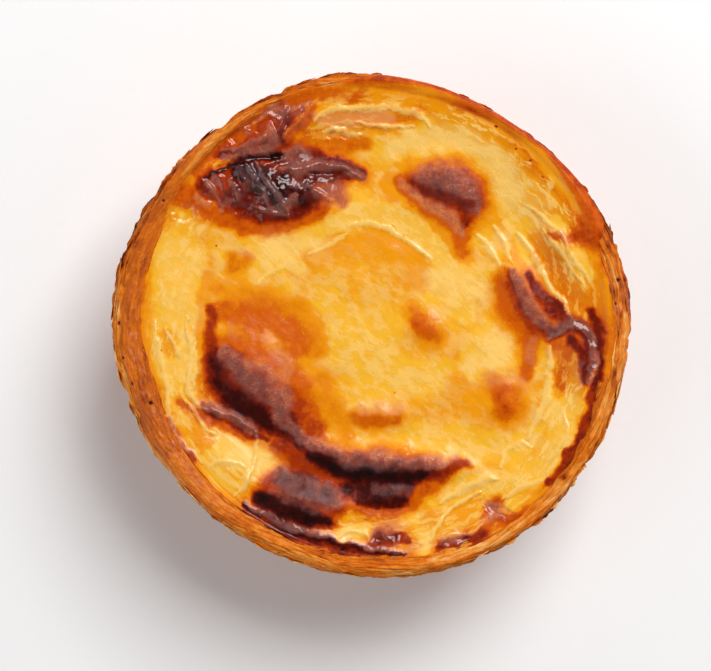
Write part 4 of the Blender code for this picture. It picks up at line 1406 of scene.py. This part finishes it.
def flake_faces(start):
    """The faces of a flake whose points begin at this number."""
    across, sheet = FLAKE_ACROSS, FLAKE_ACROSS * FLAKE_ROWS
    faces = []
    for row in range(FLAKE_ROWS - 1):
        for column in range(across - 1):
            low = start + row * across + column
            high = low + across
            faces.append((low, low + 1, high + 1, high))
            faces.append((low + sheet, high + sheet, high + sheet + 1, low + sheet + 1))
    root, tip = [*range(across)], [*range(sheet - 1, sheet - across - 1, -1)]
    border = [*root, *range(2 * across - 1, sheet - 1, across), *tip, *range(sheet - 2 * across, 0, -across)]
    for first, second in zip(border, border[1:] + border[:1]):
        faces.append((start + second, start + first, start + first + sheet, start + second + sheet))
    return faces


class TART_OT_scatter_flakes(bpy.types.Operator):
    """Lift thin leaves and crumbs of pastry off the cup's wall and outer lip"""

    bl_idname = "tart.scatter_flakes"
    bl_label = "Scatter Flakes"

    def execute(self, context):
        settings = context.scene.tart.pastry
        random = np.random.default_rng(settings.flake_seed)
        angle = TURN * np.arange(settings.columns) / settings.columns
        points, zones, surface = shaped_cup(angle, settings)
        first, last = int(np.argmax(zones == WALL)), int(np.argmax(zones == INSIDE))
        crest = first + int(0.66 * (last - first))
        sown = []
        for _ in range(settings.flakes):
            share = 1 - random.random() ** 1.3
            size = (random.uniform(1.4, 4.2), random.uniform(0.5, 1.1), random.uniform(0.07, 0.14))
            sown.append((random.integers(settings.columns), share, size, random.uniform(0.08, 0.42)))
        for direction, share, length, width, lift in CRUMBS:
            sown.append((round(direction % 360 / 360 * settings.columns), share, (length, width, 0.35), lift))
        placed, faces, bake = [], [], []
        for column, share, size, lift in sown:
            row = first + 4 + int(share * (crest - first - 8))
            column %= settings.columns
            root = points[row, column]
            along = points[row, (column + 4) % settings.columns] - points[row, column - 4]
            up = points[row + 3, column] - points[row - 3, column]
            outward = np.cross(along, up)
            along, up, outward = (way / np.linalg.norm(way) for way in (along, up, outward))
            faces += flake_faces(len(placed))
            wobble = random.uniform(-1, 1, FLAKE_ACROSS)
            placed += flake_points(root, along, up, outward, size, lift, wobble)
            browning = surface["bake"][row, column] + random.uniform(-0.20, 0.02)
            browning = browning - 0.14 * smooth((share - 0.8) / 0.1)
            steps = (0.06, 0.0, 0.0, -0.10, 0.0, 0.0, 0.0, 0.0)
            bake += [browning + step for step in steps for _ in range(FLAKE_ACROSS)]
        material = bpy.data.materials.get(PASTRY_FINISH) or pastry_finish(settings)
        piece = piece_of("pastry_flakes", placed, faces, material, [PASTRY_NODE])
        numbers(piece.data, "bake", bake)
        numbers(piece.data, "glaze", np.zeros(len(bake)))
        return {"FINISHED"}


# ---------------------------------------------------------------- stage


class TART_OT_set_stage(bpy.types.Operator):
    """Lay the pale floor and set the soft lights and the camera above the tart"""

    bl_idname = "tart.set_stage"
    bl_label = "Set Stage"

    def execute(self, context):
        settings = context.scene.tart.stage
        self.lay_floor(settings)
        self.hang_lights(settings)
        self.place_camera(context, settings)
        return {"FINISHED"}

    def lay_floor(self, settings):
        material, shader, shade = shading("floor_paper")
        where = shade.node("TexCoord", output="Object")
        tooth = shade.node("TexNoise", Vector=where, Scale=900.0, Detail=2.0)
        paper = tuple(channel * 0.98 for channel in settings.floor)
        connect(tooth.mixed((*paper, 1), (*settings.floor, 1)), shader.inputs["Base Color"])
        shader.inputs["Roughness"].default_value = 0.9
        shader.inputs["Specular IOR Level"].default_value = 0.1
        half = 3.0
        mesh = bpy.data.meshes.new("floor")
        corners = [(-half, -half, 0), (half, -half, 0), (half, half, 0), (-half, half, 0)]
        mesh.from_pydata(corners, [], [(0, 1, 2, 3)])
        mesh.materials.append(material)
        floor = bpy.data.objects.new("floor", mesh)
        bpy.context.scene.collection.objects.link(floor)

    def hang_lights(self, settings):
        rim_top = CAD_BOX[1].z
        lights = (
            ("key_light", (0.20, 0.32, 0.50), 0.34, settings.key_power),
            ("fill_light", (-0.5, -0.2, 0.4), 0.5, settings.fill_power),
        )
        for name, place, side, power in lights:
            lamp = bpy.data.lights.new(name, "AREA")
            lamp.shape, lamp.size, lamp.energy = "SQUARE", side, power
            holder = bpy.data.objects.new(name, lamp)
            holder.location = place
            aim = holder.location.copy()
            aim.z -= rim_top
            holder.rotation_mode = "QUATERNION"
            holder.rotation_quaternion = aim.to_track_quat("Z", "Y")
            bpy.context.scene.collection.objects.link(holder)
        world = bpy.data.worlds.new("studio")
        world.use_nodes = True
        background = world.node_tree.nodes["Background"]
        background.inputs["Color"].default_value = (1.0, 1.0, 1.0, 1)
        shade = Shade(world.node_tree)
        upward = shade.node("SeparateXYZ", output="Z", in0=shade.node("TexCoord", output="Generated"))
        haze = 0.45 * (1 - upward.span(0.0, 0.2))
        connect(settings.sky * (1 - 0.95 * upward.span(0.55, 0.95)) + haze, background.inputs["Strength"])
        bpy.context.scene.world = world
        bpy.context.scene.view_settings.view_transform = "Standard"

    def place_camera(self, context, settings):
        camera = bpy.data.cameras.new("camera")
        camera.sensor_width = 36.0
        camera.lens = settings.lens
        holder = bpy.data.objects.new("camera", camera)
        rise = settings.view_width * camera.lens / camera.sensor_width
        middle = (CAD_BOX[0] + CAD_BOX[1]) / 2
        across, away = VIEW_SHIFT
        holder.location = (middle.x + across, middle.y + away, CAD_BOX[1].z - VIEW_DROP + rise)
        context.scene.collection.objects.link(holder)
        context.scene.camera = holder


# ---------------------------------------------------------------- add-on


class TART_PT_look(bpy.types.Panel):
    """The steps that dress the tart, in order"""

    bl_label = "Custard Tart"
    bl_idname = "TART_PT_look"
    bl_space_type = "VIEW_3D"
    bl_region_type = "UI"
    bl_category = "Tart"

    def draw(self, context):
        layout = self.layout
        tart = context.scene.tart
        parts = (
            (tart.custard, [TART_OT_bake_custard]),
            (tart.pastry, [TART_OT_bake_pastry, TART_OT_scatter_flakes]),
            (tart.stage, [TART_OT_set_stage]),
        )
        for group, steps in parts:
            box = layout.box()
            for name in group.bl_rna.properties.keys():
                if name not in ("rna_type", "name"):
                    box.prop(group, name)
            for step in steps:
                box.operator(step.bl_idname)


CLASSES = (
    TartCustardSettings,
    TartPastrySettings,
    TartStageSettings,
    TartSettings,
    TART_OT_bake_custard,
    TART_OT_bake_pastry,
    TART_OT_scatter_flakes,
    TART_OT_set_stage,
    TART_PT_look,
)


def register():
    for item in CLASSES:
        bpy.utils.register_class(item)
    bpy.types.Scene.tart = bpy.props.PointerProperty(type=TartSettings)


def unregister():
    del bpy.types.Scene.tart
    for item in reversed(CLASSES):
        bpy.utils.unregister_class(item)


def main():
    """Bakes and dresses the tart."""
    register()
    bpy.ops.tart.bake_custard()
    bpy.ops.tart.bake_pastry()
    bpy.ops.tart.scatter_flakes()
    bpy.ops.tart.set_stage()


if __name__ == "__main__":
    main()
